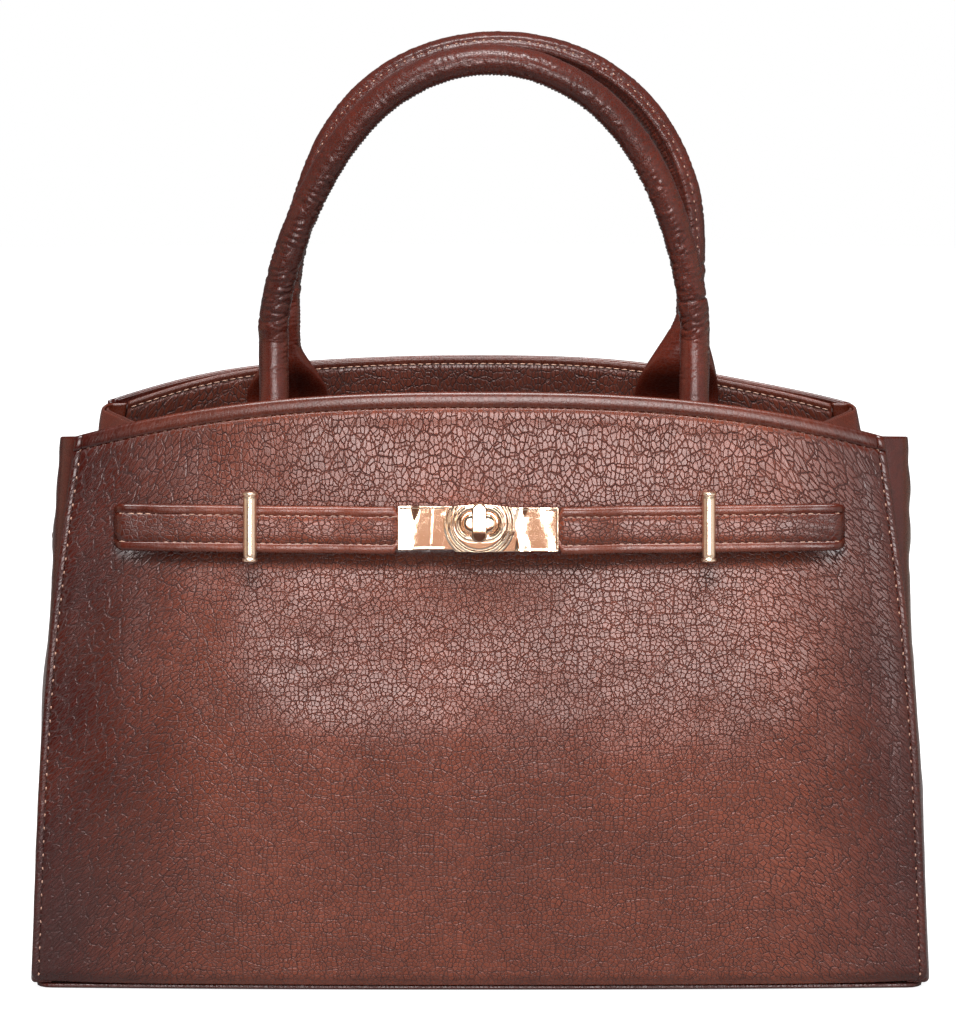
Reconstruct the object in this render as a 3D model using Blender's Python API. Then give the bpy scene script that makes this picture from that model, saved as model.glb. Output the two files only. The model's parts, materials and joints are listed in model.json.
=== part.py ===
# Leather tote bag with a turn lock: every piece as its own closed solid.
# Metres, +Z up, front at -Y. The origin is under the middle of the base, on the floor.
import math

import bmesh
import bpy
from mathutils import Euler, Vector

# The leather body, outside sizes
BASE_WIDTH = 0.340
TOP_WIDTH = 0.302
BASE_DEPTH = 0.140
TOP_DEPTH = 0.112
CORNER_HEIGHT = 0.209
RIM_RISE = 0.018
RIM_POWER = 2.5
LEAN_POWER = 1.6
BASE_BOW = 0.003
TOP_BOW = 0.012
SIDE_BOW = 0.0040
SIDE_BOW_SHAPE = 1.2

# Thicknesses, and the gap left between pieces that are sewn or riveted together
PANEL = 0.0018
GUSSET = 0.0014
FACING = 0.0014
LINING = 0.0006
BOARD = 0.0025
SEAT = 0.0003

# Turned edge along the rims of the two faces
RIM_BAND = 0.0050
RIM_BEAD = 0.0006

# Gussets: flange behind each face, roll beside each seam, belly, and tuck at the top
FLANGE = 0.0080
SEAM_INSET = 0.0012
ROLL = 0.0100
BACK_ROLL = 0.0020
ROLL_SHARE = 0.45
ROLL_START = 0.62
ROLL_AT_BASE = 0.2
ROLL_GROWTH = 1.3
ROLL_SHAPE = 0.6
BELLY = 0.0030
BELLY_SHAPE = 1.5
TUCK_DEPTH = 0.026
TUCK_START = 0.82
TUCK_SHARE = 0.85
TUCK_SOFTNESS = 0.06
TUCK_FADE = 3.0
GUSSET_DIP = 0.004

# Facing inside the mouth
FACING_HEIGHT = 0.0255

# Base
BASE_RECESS = 0.0025
BOARD_INSET = 0.0060

# Belt strap: tip in the lock plate's pocket, run along the panel, bend through the slit, tail behind
STRAP_HEIGHT = 0.0163
STRAP_LEVEL = 0.1769
STRAP = 0.0024
STRAP_LIFT = 0.0004
STRAP_TIP = 0.0010
STRAP_TIP_INSET = 0.0024
STRAP_SHOULDER = 0.0015
STRAP_RAISED = 0.0060
STRAP_LANDING = 0.0260
STRAP_IN_SLIT = 0.0018
STRAP_BEND = 0.0021
STRAP_FOLD = 0.0005
TAIL = 0.0012
TAIL_LENGTH = 0.0045
TAIL_BEND = 0.0008
TAIL_FOLD = 0.0003
SLIT_INSET = 0.0160
SLIT_X = TOP_WIDTH / 2 - SLIT_INSET
SLIT_END_ROUNDING = 0.0009
SLIT_CLEARANCE = 0.0004

# Turn lock: the stack outward from the front panel
LOCK_RISE = 0.0015
LOCK_BASE_WIDTH = 0.0160
LOCK_BASE_HEIGHT = 0.0188
LOCK_BASE = 0.0009
PLATE_WALL = 0.0006
LEFT_PLATE_END = 0.0306
LEFT_PLATE_HEIGHT = 0.0159
LEFT_PLATE_TONGUE = 0.0105
RIGHT_PLATE_END = 0.0296
RIGHT_PLATE_HEIGHT = 0.0170
RIGHT_PLATE_TONGUE = 0.0125
PLATE_SLEEVE = 0.0028
TONGUE = 0.0012
TONGUE_ROOT = 0.0125
POCKET_DEPTH = 0.0110
POCKET_CLEARANCE = 0.0006
BEZEL_RADIUS = 0.0110
BEZEL = 0.0005
BEZEL_INSET = 0.0004
LOCK_CORNER = 0.0030
SLOT_LENGTH = 0.0142
SLOT_HEIGHT = 0.0092
POST_LENGTH = 0.0116
POST_HEIGHT = 0.0058
POST_PROUD = 0.0003
POST_CROWN = 0.0006
POST_CROWN_SCALE = 0.9
KNOB_LENGTH = 0.0136
KNOB_WIDTH = 0.0052
KNOB = 0.0030
KNOB_CROWN = 0.0010
KNOB_CROWN_SCALE = 0.72
KNOB_SHAFT_RADIUS = 0.0012
KNOB_SHAFT_CLEARANCE = 0.0003
KNOB_SHAFT_LENGTH = 0.0032
RIVET_RADIUS = 0.0014
RIVET_CLEARANCE = 0.0003
RIVET_SPACING = 0.0100
BACKING = 0.0010
BACKING_CORNER = 0.0015
LOCK_BACKING_WIDTH = 0.0180
LOCK_BACKING_HEIGHT = 0.0120

# Bar loops over the strap
BAR_X = 0.0845
BAR_RADIUS = 0.0023
BAR_LENGTH = 0.0244
BAR_COLLAR_RADIUS = 0.0027
BAR_COLLAR = 0.0009
BAR_COLLAR_PROUD = 0.0002
BAR_LEG_SPACING = 0.0208
BAR_BACKING_WIDTH = 0.0080
BAR_BACKING_HEIGHT = 0.0265

# Handles: half span at the bends, and how far the arch's shoulders stand out
FRONT_HALF_SPAN = 0.0773
FRONT_FULLNESS = -0.06
BACK_HALF_SPAN = 0.0800
BACK_FULLNESS = 0.16
HANDLE_HEIGHT = 0.104
HANDLE_STRAIGHT = 0.004
HANDLE_RADIUS = 0.0055
CORE_RADIUS = 0.0040
PIVOT_HEIGHT = 0.246
PIVOT_DEPTH = 0.052
FRONT_LEAN = math.radians(9.0)
BACK_LEAN = 0.0
COVER_SEAM = 0.0005

# Sewn tabs below the handles
TAB_HALF_WIDTH = 0.0125
TAB = 0.0030
TAB_BOTTOM = 0.2050
TAB_FLAT = 0.0060
TAB_SHOULDER = 0.0040

# Rings on the gussets
RING_TAB_WIDTH = 0.0140
RING_TAB_TOP = 0.1770
RING_TAB_WRAP = math.radians(265)
RING_LEVEL = 0.1640
RING_TAB = 0.0012
RING_WIRE = 0.0013
RING_WIDTH = 0.0200
RING_DROP = 0.0150
RING_BAR_SHARE = 0.8
RING_BOW_SHAPE = 0.8
RING_CLEARANCE = 0.0004

FRONT = -1
BACK = 1
LEFT = -1
RIGHT = 1

# How finely the forms are stepped, and how far a cutter reaches past what it cuts
FACE_COLUMNS = 20
FACE_ROWS = 7
FACING_ROWS = 2
PLAN_STEPS = 8
BODY_ROWS = (0.0, 0.16, 0.32, 0.48, 0.62, 0.74, 0.82)
MOUTH_ROWS = (0.88, 0.94, 1.0)
SEAM_COLUMNS = (-1.0, -0.96)
SIDE_COLUMNS = (-0.88, -0.76, -0.6, -0.42, -0.24, -0.1, 0.0)
STRAP_STEPS = 5
PLATE_END_STEPS = 8
HANDLE_STEPS = 20
ARCH_STEP = 0.01
DOME_ANGLES = tuple(math.radians(polar) for polar in (15, 40, 65))
TAB_STEPS = 3
RING_TAB_STEPS = 7
RING_TAB_SEAT_STEPS = 4
RING_STEPS = 10
OVERSHOOT = 0.002


def mix(a, b, share):
    return a + (b - a) * share


def clamp(value, low=0.0, high=1.0):
    return max(low, min(high, value))


# Outer surface of the bag: u runs across a face from -1 to 1, z is the height

def half_width(z):
    height = clamp(z / CORNER_HEIGHT)
    bow = SIDE_BOW * math.sin(math.pi * height ** SIDE_BOW_SHAPE)
    return mix(BASE_WIDTH, TOP_WIDTH, z / CORNER_HEIGHT) / 2 + bow


def edge_depth(z):
    share = max(z, 0.0) / CORNER_HEIGHT
    return mix(BASE_DEPTH, TOP_DEPTH, share ** LEAN_POWER) / 2


def face_depth(x, z):
    bow = mix(BASE_BOW, TOP_BOW, z / CORNER_HEIGHT)
    return edge_depth(z) + bow * (1 - (x / half_width(z)) ** 2)


def rim_height(x):
    share = clamp(abs(x) / (TOP_WIDTH / 2))
    return CORNER_HEIGHT + RIM_RISE * (1 - share ** RIM_POWER)


def face_point(side, x, z, out=0.0):
    return Vector((x, side * (face_depth(x, z) + out), z))


# Plan of a gusset at one height: v runs from -1 at the front seam to 1 at the back seam

def gusset_half_depth(z):
    return edge_depth(z) - PANEL - SEAT - GUSSET / 2


def gusset_rim(v):
    return CORNER_HEIGHT - GUSSET_DIP * (1 - v * v)


def tuck(v, z):
    opened = TUCK_SHARE * clamp((z / CORNER_HEIGHT - TUCK_START) / (1 - TUCK_START))
    inside = opened - abs(v)
    soft = (inside + math.sqrt(inside * inside + TUCK_SOFTNESS ** 2)) / 2
    fade = clamp(opened / TUCK_SHARE * TUCK_FADE)
    return TUCK_DEPTH * soft / TUCK_SHARE * fade


def gusset_reach(v, z):
    height = clamp(z / CORNER_HEIGHT)
    rise = clamp((height - ROLL_START) / (1 - ROLL_START)) ** ROLL_GROWTH
    along = clamp((1 - abs(v)) / ROLL_SHARE)
    size = ROLL if v < 0 else BACK_ROLL
    roll = size * mix(ROLL_AT_BASE, 1.0, rise) * math.sin(math.pi * along ** ROLL_SHAPE)
    belly = BELLY * math.sin(math.pi * height ** BELLY_SHAPE) * (1 - v * v)
    return half_width(z) - SEAM_INSET + roll + belly - tuck(v, z)


def gusset_point(v, z, inward=0.0):
    """Plan position (x, y) on the right-hand gusset, moved inward along its normal."""
    depth = gusset_half_depth(z)
    step = 0.01
    low = max(v - step, -1.0)
    high = min(v + step, 1.0)
    along = Vector((gusset_reach(high, z) - gusset_reach(low, z), (high - low) * depth))
    along.normalize()
    return (gusset_reach(v, z) - inward * along.y, v * depth + inward * along.x)


# Mesh helpers

def material(name, color, roughness, metallic=0.0):
    made = bpy.data.materials.new(name)
    made.use_nodes = True
    shader = made.node_tree.nodes["Principled BSDF"]
    shader.inputs["Base Color"].default_value = (*color, 1.0)
    shader.inputs["Roughness"].default_value = roughness
    shader.inputs["Metallic"].default_value = metallic
    made.diffuse_color = (*color, 1.0)
    return made


def add_object(name, bm, finish, location=(0, 0, 0), rotation=(0, 0, 0)):
    """The mesh is in the object's own frame, which location and rotation place."""
    bmesh.ops.recalc_face_normals(bm, faces=bm.faces)
    mesh = bpy.data.meshes.new(name)
    bm.to_mesh(mesh)
    bm.free()
    mesh.shade_smooth()
    mesh.set_sharp_from_angle(angle=math.radians(35))
    mesh.materials.append(finish)
    made = bpy.data.objects.new(name, mesh)
    made.location = location
    made.rotation_euler = rotation
    bpy.context.scene.collection.objects.link(made)
    return made


def loft(rings, bm=None):
    """Closed section rings joined in order, with the first and last one capped."""
    bm = bm or bmesh.new()
    loops = [[bm.verts.new(point) for point in ring] for ring in rings]
    count = len(loops[0])
    for lower, upper in zip(loops, loops[1:]):
        for i in range(count):
            j = (i + 1) % count
            bm.faces.new((lower[i], lower[j], upper[j], upper[i]))
    bm.faces.new(loops[0])
    bm.faces.new(loops[-1])
    return bm


def slab(outer, inner):
    """Two grids of points, an outer and an inner skin, closed round their four edges."""
    bm = bmesh.new()
    skins = [[[bm.verts.new(point) for point in row] for row in skin] for skin in (outer, inner)]
    last_row = len(outer) - 1
    last_column = len(outer[0]) - 1
    for skin in skins:
        for r in range(last_row):
            for c in range(last_column):
                bm.faces.new((skin[r][c], skin[r][c + 1], skin[r + 1][c + 1], skin[r + 1][c]))
    near, far = skins
    for r in (0, last_row):
        for c in range(last_column):
            bm.faces.new((near[r][c], near[r][c + 1], far[r][c + 1], far[r][c]))
    for c in (0, last_column):
        for r in range(last_row):
            bm.faces.new((near[r][c], near[r + 1][c], far[r + 1][c], far[r][c]))
    return bm


def disc_outline(radius, sides, flat=None):
    """Circle in the XZ plane, cut level at the height flat above and below."""
    limit = flat or radius
    points = []
    for i in range(sides):
        angle = 2 * math.pi * (i + 0.5) / sides
        points.append((radius * math.cos(angle), clamp(radius * math.sin(angle), -limit, limit)))
    return points


def slot_outline(length, height, steps=6):
    """Bar with round ends in the XZ plane, longer along X."""
    radius = min(length, height) / 2
    across = length / 2 - radius
    up = height / 2 - radius
    points = []
    for end in (0, 1):
        for i in range(steps + 1):
            angle = -math.pi / 2 + math.pi * (i / steps + end)
            if up > 0:
                angle += math.pi / 2
            shift = 1 - 2 * end
            points.append((radius * math.cos(angle) + across * shift,
                           radius * math.sin(angle) + up * shift))
    return points


def box_outline(left, right, bottom, top, corner=0.0008):
    points = []
    for x, z, start in ((right, top, 0), (left, top, 90), (left, bottom, 180), (right, bottom, 270)):
        cx = x - math.copysign(corner, x - (left + right) / 2)
        cz = z - math.copysign(corner, z - (bottom + top) / 2)
        for turn in (0, 45, 90):
            angle = math.radians(start + turn)
            points.append((cx + corner * math.cos(angle), cz + corner * math.sin(angle)))
    return points


def prism(outline, low, high, crown=0.0, crown_scale=0.8, bm=None):
    """Outline in the XZ plane, raised toward -Y from low to high, its top edge eased by crown."""
    levels = [(low, 1.0), (high - crown, 1.0)]
    if crown:
        levels += [(high - crown * 0.3, mix(1.0, crown_scale, 0.4)), (high, crown_scale)]
    return loft([[Vector((x * s, -level, z * s)) for x, z in outline] for level, s in levels], bm)


def rod(radius, low, high, center=(0, 0), sides=10, axis="Y"):
    """Cylinder in a hardware frame, toward -Y, or up Z when axis is Z."""
    rings = []
    for level in (low, high):
        ring = []
        for i in range(sides):
            angle = 2 * math.pi * (i + 0.5) / sides
            a = radius * math.cos(angle)
            b = radius * math.sin(angle)
            if axis == "Y":
                ring.append(Vector((center[0] + a, -level, center[1] + b)))
            else:
                ring.append(Vector((center[0] + a, center[1] + b, level)))
        rings.append(ring)
    return loft(rings)


def tool_object(name, bm, target, operation, location=(0, 0, 0), rotation=(0, 0, 0)):
    """Hidden helper whose shape is added to target or cut from it."""
    tool = add_object(name, bm, target.data.materials[0], location, rotation)
    tool.hide_render = True
    tool.display_type = "WIRE"
    change = target.modifiers.new(name, "BOOLEAN")
    change.object = tool
    change.operation = operation
    change.solver = "EXACT"
    return tool


def cut(target, name, bm, location=(0, 0, 0), rotation=(0, 0, 0)):
    return tool_object(name, bm, target, "DIFFERENCE", location, rotation)


def join(target, name, bm, location=(0, 0, 0), rotation=(0, 0, 0)):
    return tool_object(name, bm, target, "UNION", location, rotation)


# Where hardware sits on the front panel: its Z runs up the leather and its -Y points away from it

def hardware_place(x, z):
    step = 0.001
    lean = (face_depth(x, z + step) - face_depth(x, z - step)) / (2 * step)
    yaw = (face_depth(x - step, z) - face_depth(x + step, z)) / (2 * step)
    return face_point(FRONT, x, z), Euler((math.atan(lean), 0, math.atan(yaw)))


# Leather body

def face_grid(side, out_of_row):
    """Rows of points from the bottom edge to the rim; out_of_row gives each row's level."""
    bottom = PANEL + SEAT
    rows = []
    for row, out in enumerate(out_of_row):
        points = []
        for column in range(FACE_COLUMNS + 1):
            across = 2 * column / FACE_COLUMNS - 1
            top = rim_height(across * TOP_WIDTH / 2)
            drop = (RIM_BAND + RIM_BEAD, RIM_BAND, RIM_BEAD, 0.0)
            if row < FACE_ROWS:
                z = mix(bottom, top - drop[0], row / FACE_ROWS)
            else:
                z = top - drop[row - FACE_ROWS]
            points.append(face_point(side, across * half_width(z), z, out))
        rows.append(points)
    return rows


def make_face(name, side, finish):
    plain = [0.0] * (FACE_ROWS + 1)
    outer = face_grid(side, plain + [RIM_BEAD, RIM_BEAD, 0.0])
    inner = face_grid(side, [-PANEL] * (FACE_ROWS + 4))
    return add_object(name, slab(outer, inner), finish)


def cut_front_face(face):
    half_slit = STRAP_IN_SLIT / 2 + SLIT_CLEARANCE
    half_height = STRAP_HEIGHT / 2 - SLIT_END_ROUNDING + SLIT_CLEARANCE
    for word, hand in (("left", LEFT), ("right", RIGHT)):
        middle = hand * SLIT_X
        depth = face_depth(middle, STRAP_LEVEL)
        outline = box_outline(middle - half_slit, middle + half_slit, STRAP_LEVEL - half_height,
                              STRAP_LEVEL + half_height, corner=SLIT_CLEARANCE)
        cut(face, word + "_slit", prism(outline, depth - PANEL - OVERSHOOT, depth + OVERSHOOT))
        place, turn = hardware_place(hand * BAR_X, STRAP_LEVEL)
        for end in (-1, 1):
            hole = rivet_hole(-PANEL, (0, end * BAR_LEG_SPACING / 2))
            cut(face, f"{word}_bar_hole_{end + 1}", hole, place, turn)
    place, turn = lock_place()
    for hand in (LEFT, RIGHT):
        cut(face, f"lock_hole_{hand + 1}", rivet_hole(-PANEL, (hand * RIVET_SPACING / 2, 0)), place, turn)


def mirrored(values):
    return tuple(values) + tuple(-value for value in reversed(values[:-1]))


def gusset_section(hand, share, inward, with_flange, columns):
    """One row of points along a gusset, from front to back."""
    points = []
    for v in columns:
        z = mix(PANEL + SEAT, gusset_rim(v), share)
        x, y = gusset_point(v, z, inward)
        points.append(Vector((hand * x, y, z)))
    if with_flange:
        z = mix(PANEL + SEAT, gusset_rim(1.0), share)
        behind = -(PANEL + SEAT + GUSSET / 2 + inward)
        for end in (FRONT, BACK):
            corner = face_point(end, hand * (gusset_reach(1.0, z) - inward), z, behind)
            tip = face_point(end, hand * (half_width(z) - FLANGE), z, behind)
            if end == FRONT:
                points[0] = corner
                points.insert(0, tip)
            else:
                points[-1] = corner
                points.append(tip)
    return points


def make_gusset(name, hand, finish):
    columns = mirrored(SEAM_COLUMNS + SIDE_COLUMNS)
    skins = []
    for inward in (-GUSSET / 2, GUSSET / 2):
        skins.append([gusset_section(hand, share, inward, True, columns)
                      for share in BODY_ROWS + MOUTH_ROWS])
    return add_object(name, slab(*skins), finish)


def make_side_facing(name, hand, finish):
    """Leather strip inside the top of a gusset, following its tuck."""
    near = GUSSET / 2 + SEAT
    columns = mirrored(SIDE_COLUMNS)
    skins = []
    for inward in (near, near + FACING):
        skins.append([gusset_section(hand, share, inward, False, columns) for share in MOUTH_ROWS])
    return add_object(name, slab(*skins), finish)


def make_face_facing(name, side, finish):
    """Leather strip inside the top of a face, between the gusset flanges."""
    near = -(PANEL + SEAT)
    skins = []
    for out in (near, near - FACING):
        rows = []
        for i in range(FACING_ROWS + 1):
            row = []
            for column in range(FACE_COLUMNS + 1):
                across = 2 * column / FACE_COLUMNS - 1
                z = rim_height(across * TOP_WIDTH / 2) - FACING_HEIGHT * (1 - i / FACING_ROWS)
                reach = half_width(z) - FLANGE - SEAT
                row.append(face_point(side, across * reach, z, out))
            rows.append(row)
        skins.append(rows)
    return add_object(name, slab(*skins), finish)


def face_outline(z, out, inset):
    """Plan outline of the bag at one height, moved out from its faces and in from its sides."""
    points = []
    for side in (FRONT, BACK):
        for i in range(PLAN_STEPS + 1):
            x = -side * mix(-1, 1, i / PLAN_STEPS) * (half_width(z) - inset)
            points.append(face_point(side, x, z, out))
    return points


def make_base_panel(finish):
    rings = [face_outline(z, -BASE_RECESS, BASE_RECESS) for z in (0.0, PANEL)]
    return add_object("base_panel", loft(rings), finish)


def make_base_board(finish):
    low = PANEL + SEAT
    rings = [face_outline(z, -BOARD_INSET, BOARD_INSET) for z in (low, low + BOARD)]
    return add_object("base_board", loft(rings), finish)


def lining_ring(share, inset):
    """Closed plan loop of the pouch; inset is measured inward from its outer skin."""
    floor = PANEL + 2 * SEAT + BOARD + inset
    near = PANEL + 2 * SEAT + FACING + inset
    side_near = GUSSET / 2 + 2 * SEAT + FACING + inset
    points = []
    for side in (FRONT, BACK):
        for i in range(PLAN_STEPS + 1):
            across = -side * mix(-1, 1, i / PLAN_STEPS)
            z = max(floor, mix(PANEL + SEAT, rim_height(across * TOP_WIDTH / 2), share))
            reach = half_width(z) - FLANGE
            points.append(face_point(side, across * reach, z, -near))
        hand = RIGHT if side == FRONT else LEFT
        for v in mirrored(SIDE_COLUMNS):
            run = v if side == FRONT else -v
            z = max(floor, mix(PANEL + SEAT, gusset_rim(run), share))
            x, y = gusset_point(run, z, side_near)
            points.append(Vector((hand * x, y, z)))
    return points


def make_lining(finish):
    shares = BODY_ROWS + MOUTH_ROWS[:1]
    rings = [lining_ring(share, 0.0) for share in shares]
    rings += [lining_ring(share, LINING) for share in reversed(shares)]
    return add_object("lining", loft(rings), finish)


# Belt strap

def lock_place():
    return hardware_place(0, STRAP_LEVEL + LOCK_RISE)


def plate_levels():
    """Heights of the lock's layers over the front panel, from the base outward."""
    base_top = SEAT + LOCK_BASE
    left_low = base_top + SEAT
    left_high = left_low + PLATE_SLEEVE
    right_high = left_high + SEAT + TONGUE
    right_low = right_high - PLATE_SLEEVE
    return {"base_top": base_top, "left_low": left_low, "left_high": left_high,
            "right_low": right_low, "right_high": right_high,
            "post_top": right_high + BEZEL + POST_PROUD}


def strap_run(hand):
    """Sections from the plate's pocket to the bend: (x, level) of its top and underside, half height."""
    levels = plate_levels()
    word = "left" if hand == LEFT else "right"
    plate_end = LEFT_PLATE_END if hand == LEFT else RIGHT_PLATE_END
    middle = (levels[word + "_low"] + levels[word + "_high"]) / 2
    straight = face_depth(0, STRAP_LEVEL)
    half = STRAP_HEIGHT / 2
    sections = []
    for x, thick, inset in ((plate_end - POCKET_DEPTH + SEAT, STRAP_TIP, STRAP_TIP_INSET),
                            (plate_end + SEAT, STRAP_TIP, STRAP_TIP_INSET),
                            (plate_end + STRAP_SHOULDER, STRAP, 0.0),
                            (plate_end + STRAP_RAISED, STRAP, 0.0)):
        level = middle + straight - face_depth(x, STRAP_LEVEL)
        sections.append(((x, level + thick / 2), (x, level - thick / 2), half - inset))
    last = SLIT_X + STRAP_IN_SLIT / 2 - STRAP_BEND
    for i in range(STRAP_STEPS):
        x = mix(plate_end + STRAP_LANDING, last, i / STRAP_STEPS)
        sections.append(((x, STRAP_LIFT + STRAP), (x, STRAP_LIFT), half))
    return sections


def quarter(x, level, radius, start, turn):
    """Three points of a quarter circle about (x, level), from the angle start, in degrees."""
    angles = [math.radians(start + turn * step) for step in (0, 0.5, 1)]
    return [(x + radius * math.cos(angle), level + radius * math.sin(angle)) for angle in angles]


def make_strap(name, hand, finish):
    half = STRAP_HEIGHT / 2
    narrow = half - SLIT_END_ROUNDING
    near = SLIT_X - STRAP_IN_SLIT / 2
    far = SLIT_X + STRAP_IN_SLIT / 2
    top = STRAP_LIFT + STRAP
    tail_top = -(PANEL + SEAT)
    tail_low = tail_top - TAIL
    tail_end = SLIT_X + TAIL_LENGTH
    pairs = strap_run(hand)
    pairs += zip(quarter(far - STRAP_BEND, top - STRAP_BEND, STRAP_BEND, 90, -90),
                 quarter(near - STRAP_FOLD, STRAP_LIFT - STRAP_FOLD, STRAP_FOLD, 90, -90),
                 (half, (half + narrow) / 2, narrow))
    pairs += zip(quarter(far + TAIL_FOLD, tail_top + TAIL_FOLD, TAIL_FOLD, 180, 90),
                 quarter(near + TAIL_BEND, tail_low + TAIL_BEND, TAIL_BEND, 180, 90),
                 (narrow, narrow, narrow))
    pairs.append(((tail_end, tail_top), (tail_end, tail_low), narrow))
    rings = []
    for upper, lower, tall in pairs:
        ring = []
        for (x, out), rise in ((upper, tall), (upper, -tall), (lower, -tall), (lower, tall)):
            ring.append(face_point(FRONT, hand * x, STRAP_LEVEL + rise, out))
        rings.append(ring)
    return add_object(name, loft(rings), finish)


# Turn lock

def plate_outline(hand, tongue, end, height):
    """Plate with a square outer end, and an inner end that is round about the lock's axis."""
    low = -LOCK_RISE - height / 2
    high = -LOCK_RISE + height / 2
    points = [(hand * end, low), (hand * end, high)]
    first = math.asin(clamp(high / tongue, -1.0))
    last = math.asin(clamp(low / tongue, -1.0))
    for i in range(PLATE_END_STEPS + 1):
        angle = mix(first, last, i / PLATE_END_STEPS)
        points.append((-hand * tongue * math.cos(angle), tongue * math.sin(angle)))
    return points


def make_plate(name, hand, finish):
    levels = plate_levels()
    place, turn = lock_place()
    if hand == LEFT:
        tongue, end, height = LEFT_PLATE_TONGUE, LEFT_PLATE_END, LEFT_PLATE_HEIGHT
        low, high = levels["left_low"], levels["left_high"]
        outline = plate_outline(hand, tongue, end, height)
        plate = add_object(name, prism(outline, low, high), finish, place, turn)
    else:
        tongue, end, height = RIGHT_PLATE_TONGUE, RIGHT_PLATE_END, RIGHT_PLATE_HEIGHT
        low, high = levels["right_low"], levels["right_high"]
        outline = plate_outline(hand, tongue, end, height)
        plate = add_object(name, prism(outline, high - TONGUE, high), finish, place, turn)
        middle = -LOCK_RISE
        block = box_outline(TONGUE_ROOT, end, middle - height / 2, middle + height / 2, corner=0.0001)
        join(plate, "right_plate_block", prism(block, low, high), place, turn)
        rim = disc_outline(BEZEL_RADIUS, 28, flat=height / 2 - LOCK_RISE - BEZEL_INSET)
        join(plate, "right_plate_bezel", prism(rim, high - TONGUE / 2, high + BEZEL), place, turn)
    tall = STRAP_HEIGHT / 2 - STRAP_TIP_INSET + POCKET_CLEARANCE
    sides = sorted((hand * (end - POCKET_DEPTH), hand * (end + OVERSHOOT)))
    pocket = box_outline(sides[0], sides[1], -LOCK_RISE - tall, -LOCK_RISE + tall, corner=0.0002)
    cut(plate, name + "_pocket", prism(pocket, low + PLATE_WALL, high - PLATE_WALL), place, turn)
    slot = slot_outline(SLOT_LENGTH, SLOT_HEIGHT)
    cut(plate, name + "_slot", prism(slot, low - OVERSHOOT, high + OVERSHOOT), place, turn)
    return plate


def make_lock_base(finish):
    levels = plate_levels()
    place, turn = lock_place()
    half_w = LOCK_BASE_WIDTH / 2
    half_h = LOCK_BASE_HEIGHT / 2
    plate = box_outline(-half_w, half_w, -LOCK_RISE - half_h, -LOCK_RISE + half_h, corner=LOCK_CORNER)
    base = add_object("lock_base", prism(plate, SEAT, levels["base_top"]), finish, place, turn)
    post = prism(slot_outline(POST_LENGTH, POST_HEIGHT), SEAT + LOCK_BASE / 2, levels["post_top"],
                 crown=POST_CROWN, crown_scale=POST_CROWN_SCALE)
    join(base, "lock_post", post, place, turn)
    for hand in (LEFT, RIGHT):
        leg = rivet_leg(SEAT + LOCK_BASE / 2, (hand * RIVET_SPACING / 2, 0))
        join(base, f"lock_rivet_{hand + 1}", leg, place, turn)
    bore = rod(KNOB_SHAFT_RADIUS + KNOB_SHAFT_CLEARANCE,
               levels["post_top"] - KNOB_SHAFT_LENGTH - 2 * SEAT, levels["post_top"] + OVERSHOOT)
    cut(base, "knob_bore", bore, place, turn)
    return base


def make_turn_knob(finish):
    levels = plate_levels()
    place, turn = lock_place()
    low = levels["post_top"] + SEAT
    head = prism(slot_outline(KNOB_WIDTH, KNOB_LENGTH), low, low + KNOB, crown=KNOB_CROWN,
                 crown_scale=KNOB_CROWN_SCALE)
    knob = add_object("turn_knob", head, finish, place, turn)
    shaft = rod(KNOB_SHAFT_RADIUS, levels["post_top"] - KNOB_SHAFT_LENGTH, low + KNOB / 3)
    join(knob, "knob_shaft", shaft, place, turn)
    return knob


def rivet_leg(top, center):
    """Leg from the hardware's level top down through the panel and its backing plate."""
    return rod(RIVET_RADIUS, -(PANEL + 2 * SEAT + BACKING), top, center, sides=8)


def rivet_hole(bottom, center):
    """Cutter for the hole that a rivet's leg goes through, in leather or plate down to bottom."""
    return rod(RIVET_RADIUS + RIVET_CLEARANCE, bottom - OVERSHOOT, OVERSHOOT, center, sides=8)


def make_backing(name, place, turn, width, height, holes, finish):
    high = -(PANEL + SEAT)
    outline = box_outline(-width / 2, width / 2, -height / 2, height / 2, corner=BACKING_CORNER)
    plate = add_object(name, prism(outline, high - BACKING, high), finish, place, turn)
    for i, center in enumerate(holes):
        cut(plate, f"{name}_hole_{i}", rivet_hole(high - BACKING, center), place, turn)
    return plate


def make_bar_loop(name, hand, finish):
    place, turn = hardware_place(hand * BAR_X, STRAP_LEVEL)
    axis_level = STRAP_LIFT + STRAP + SEAT + BAR_RADIUS
    half = BAR_LENGTH / 2
    center = (0, -axis_level)
    bar = add_object(name, rod(BAR_RADIUS, -half, half, center, sides=12, axis="Z"), finish, place, turn)
    for end in (-1, 1):
        inner, outer = sorted((end * (half - BAR_COLLAR), end * (half + BAR_COLLAR_PROUD)))
        collar = rod(BAR_COLLAR_RADIUS, inner, outer, center, sides=12, axis="Z")
        join(bar, f"{name}_collar_{end + 1}", collar, place, turn)
        leg = rivet_leg(axis_level, (0, end * BAR_LEG_SPACING / 2))
        join(bar, f"{name}_leg_{end + 1}", leg, place, turn)
    return bar


# Handles, in a frame whose origin is midway between the two bends, with the legs at +X and -X

def handle_span(side):
    """Half span at the bends and fullness of the shoulders."""
    if side == FRONT:
        return FRONT_HALF_SPAN, FRONT_FULLNESS
    return BACK_HALF_SPAN, BACK_FULLNESS


def arch_point(side, angle):
    half_span, fullness = handle_span(side)
    reach = half_span * math.cos(angle) * (1 + fullness * math.sin(angle) ** 2)
    rise = HANDLE_HEIGHT - HANDLE_STRAIGHT
    return Vector((reach, 0, HANDLE_STRAIGHT + rise * math.sin(angle)))


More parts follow.
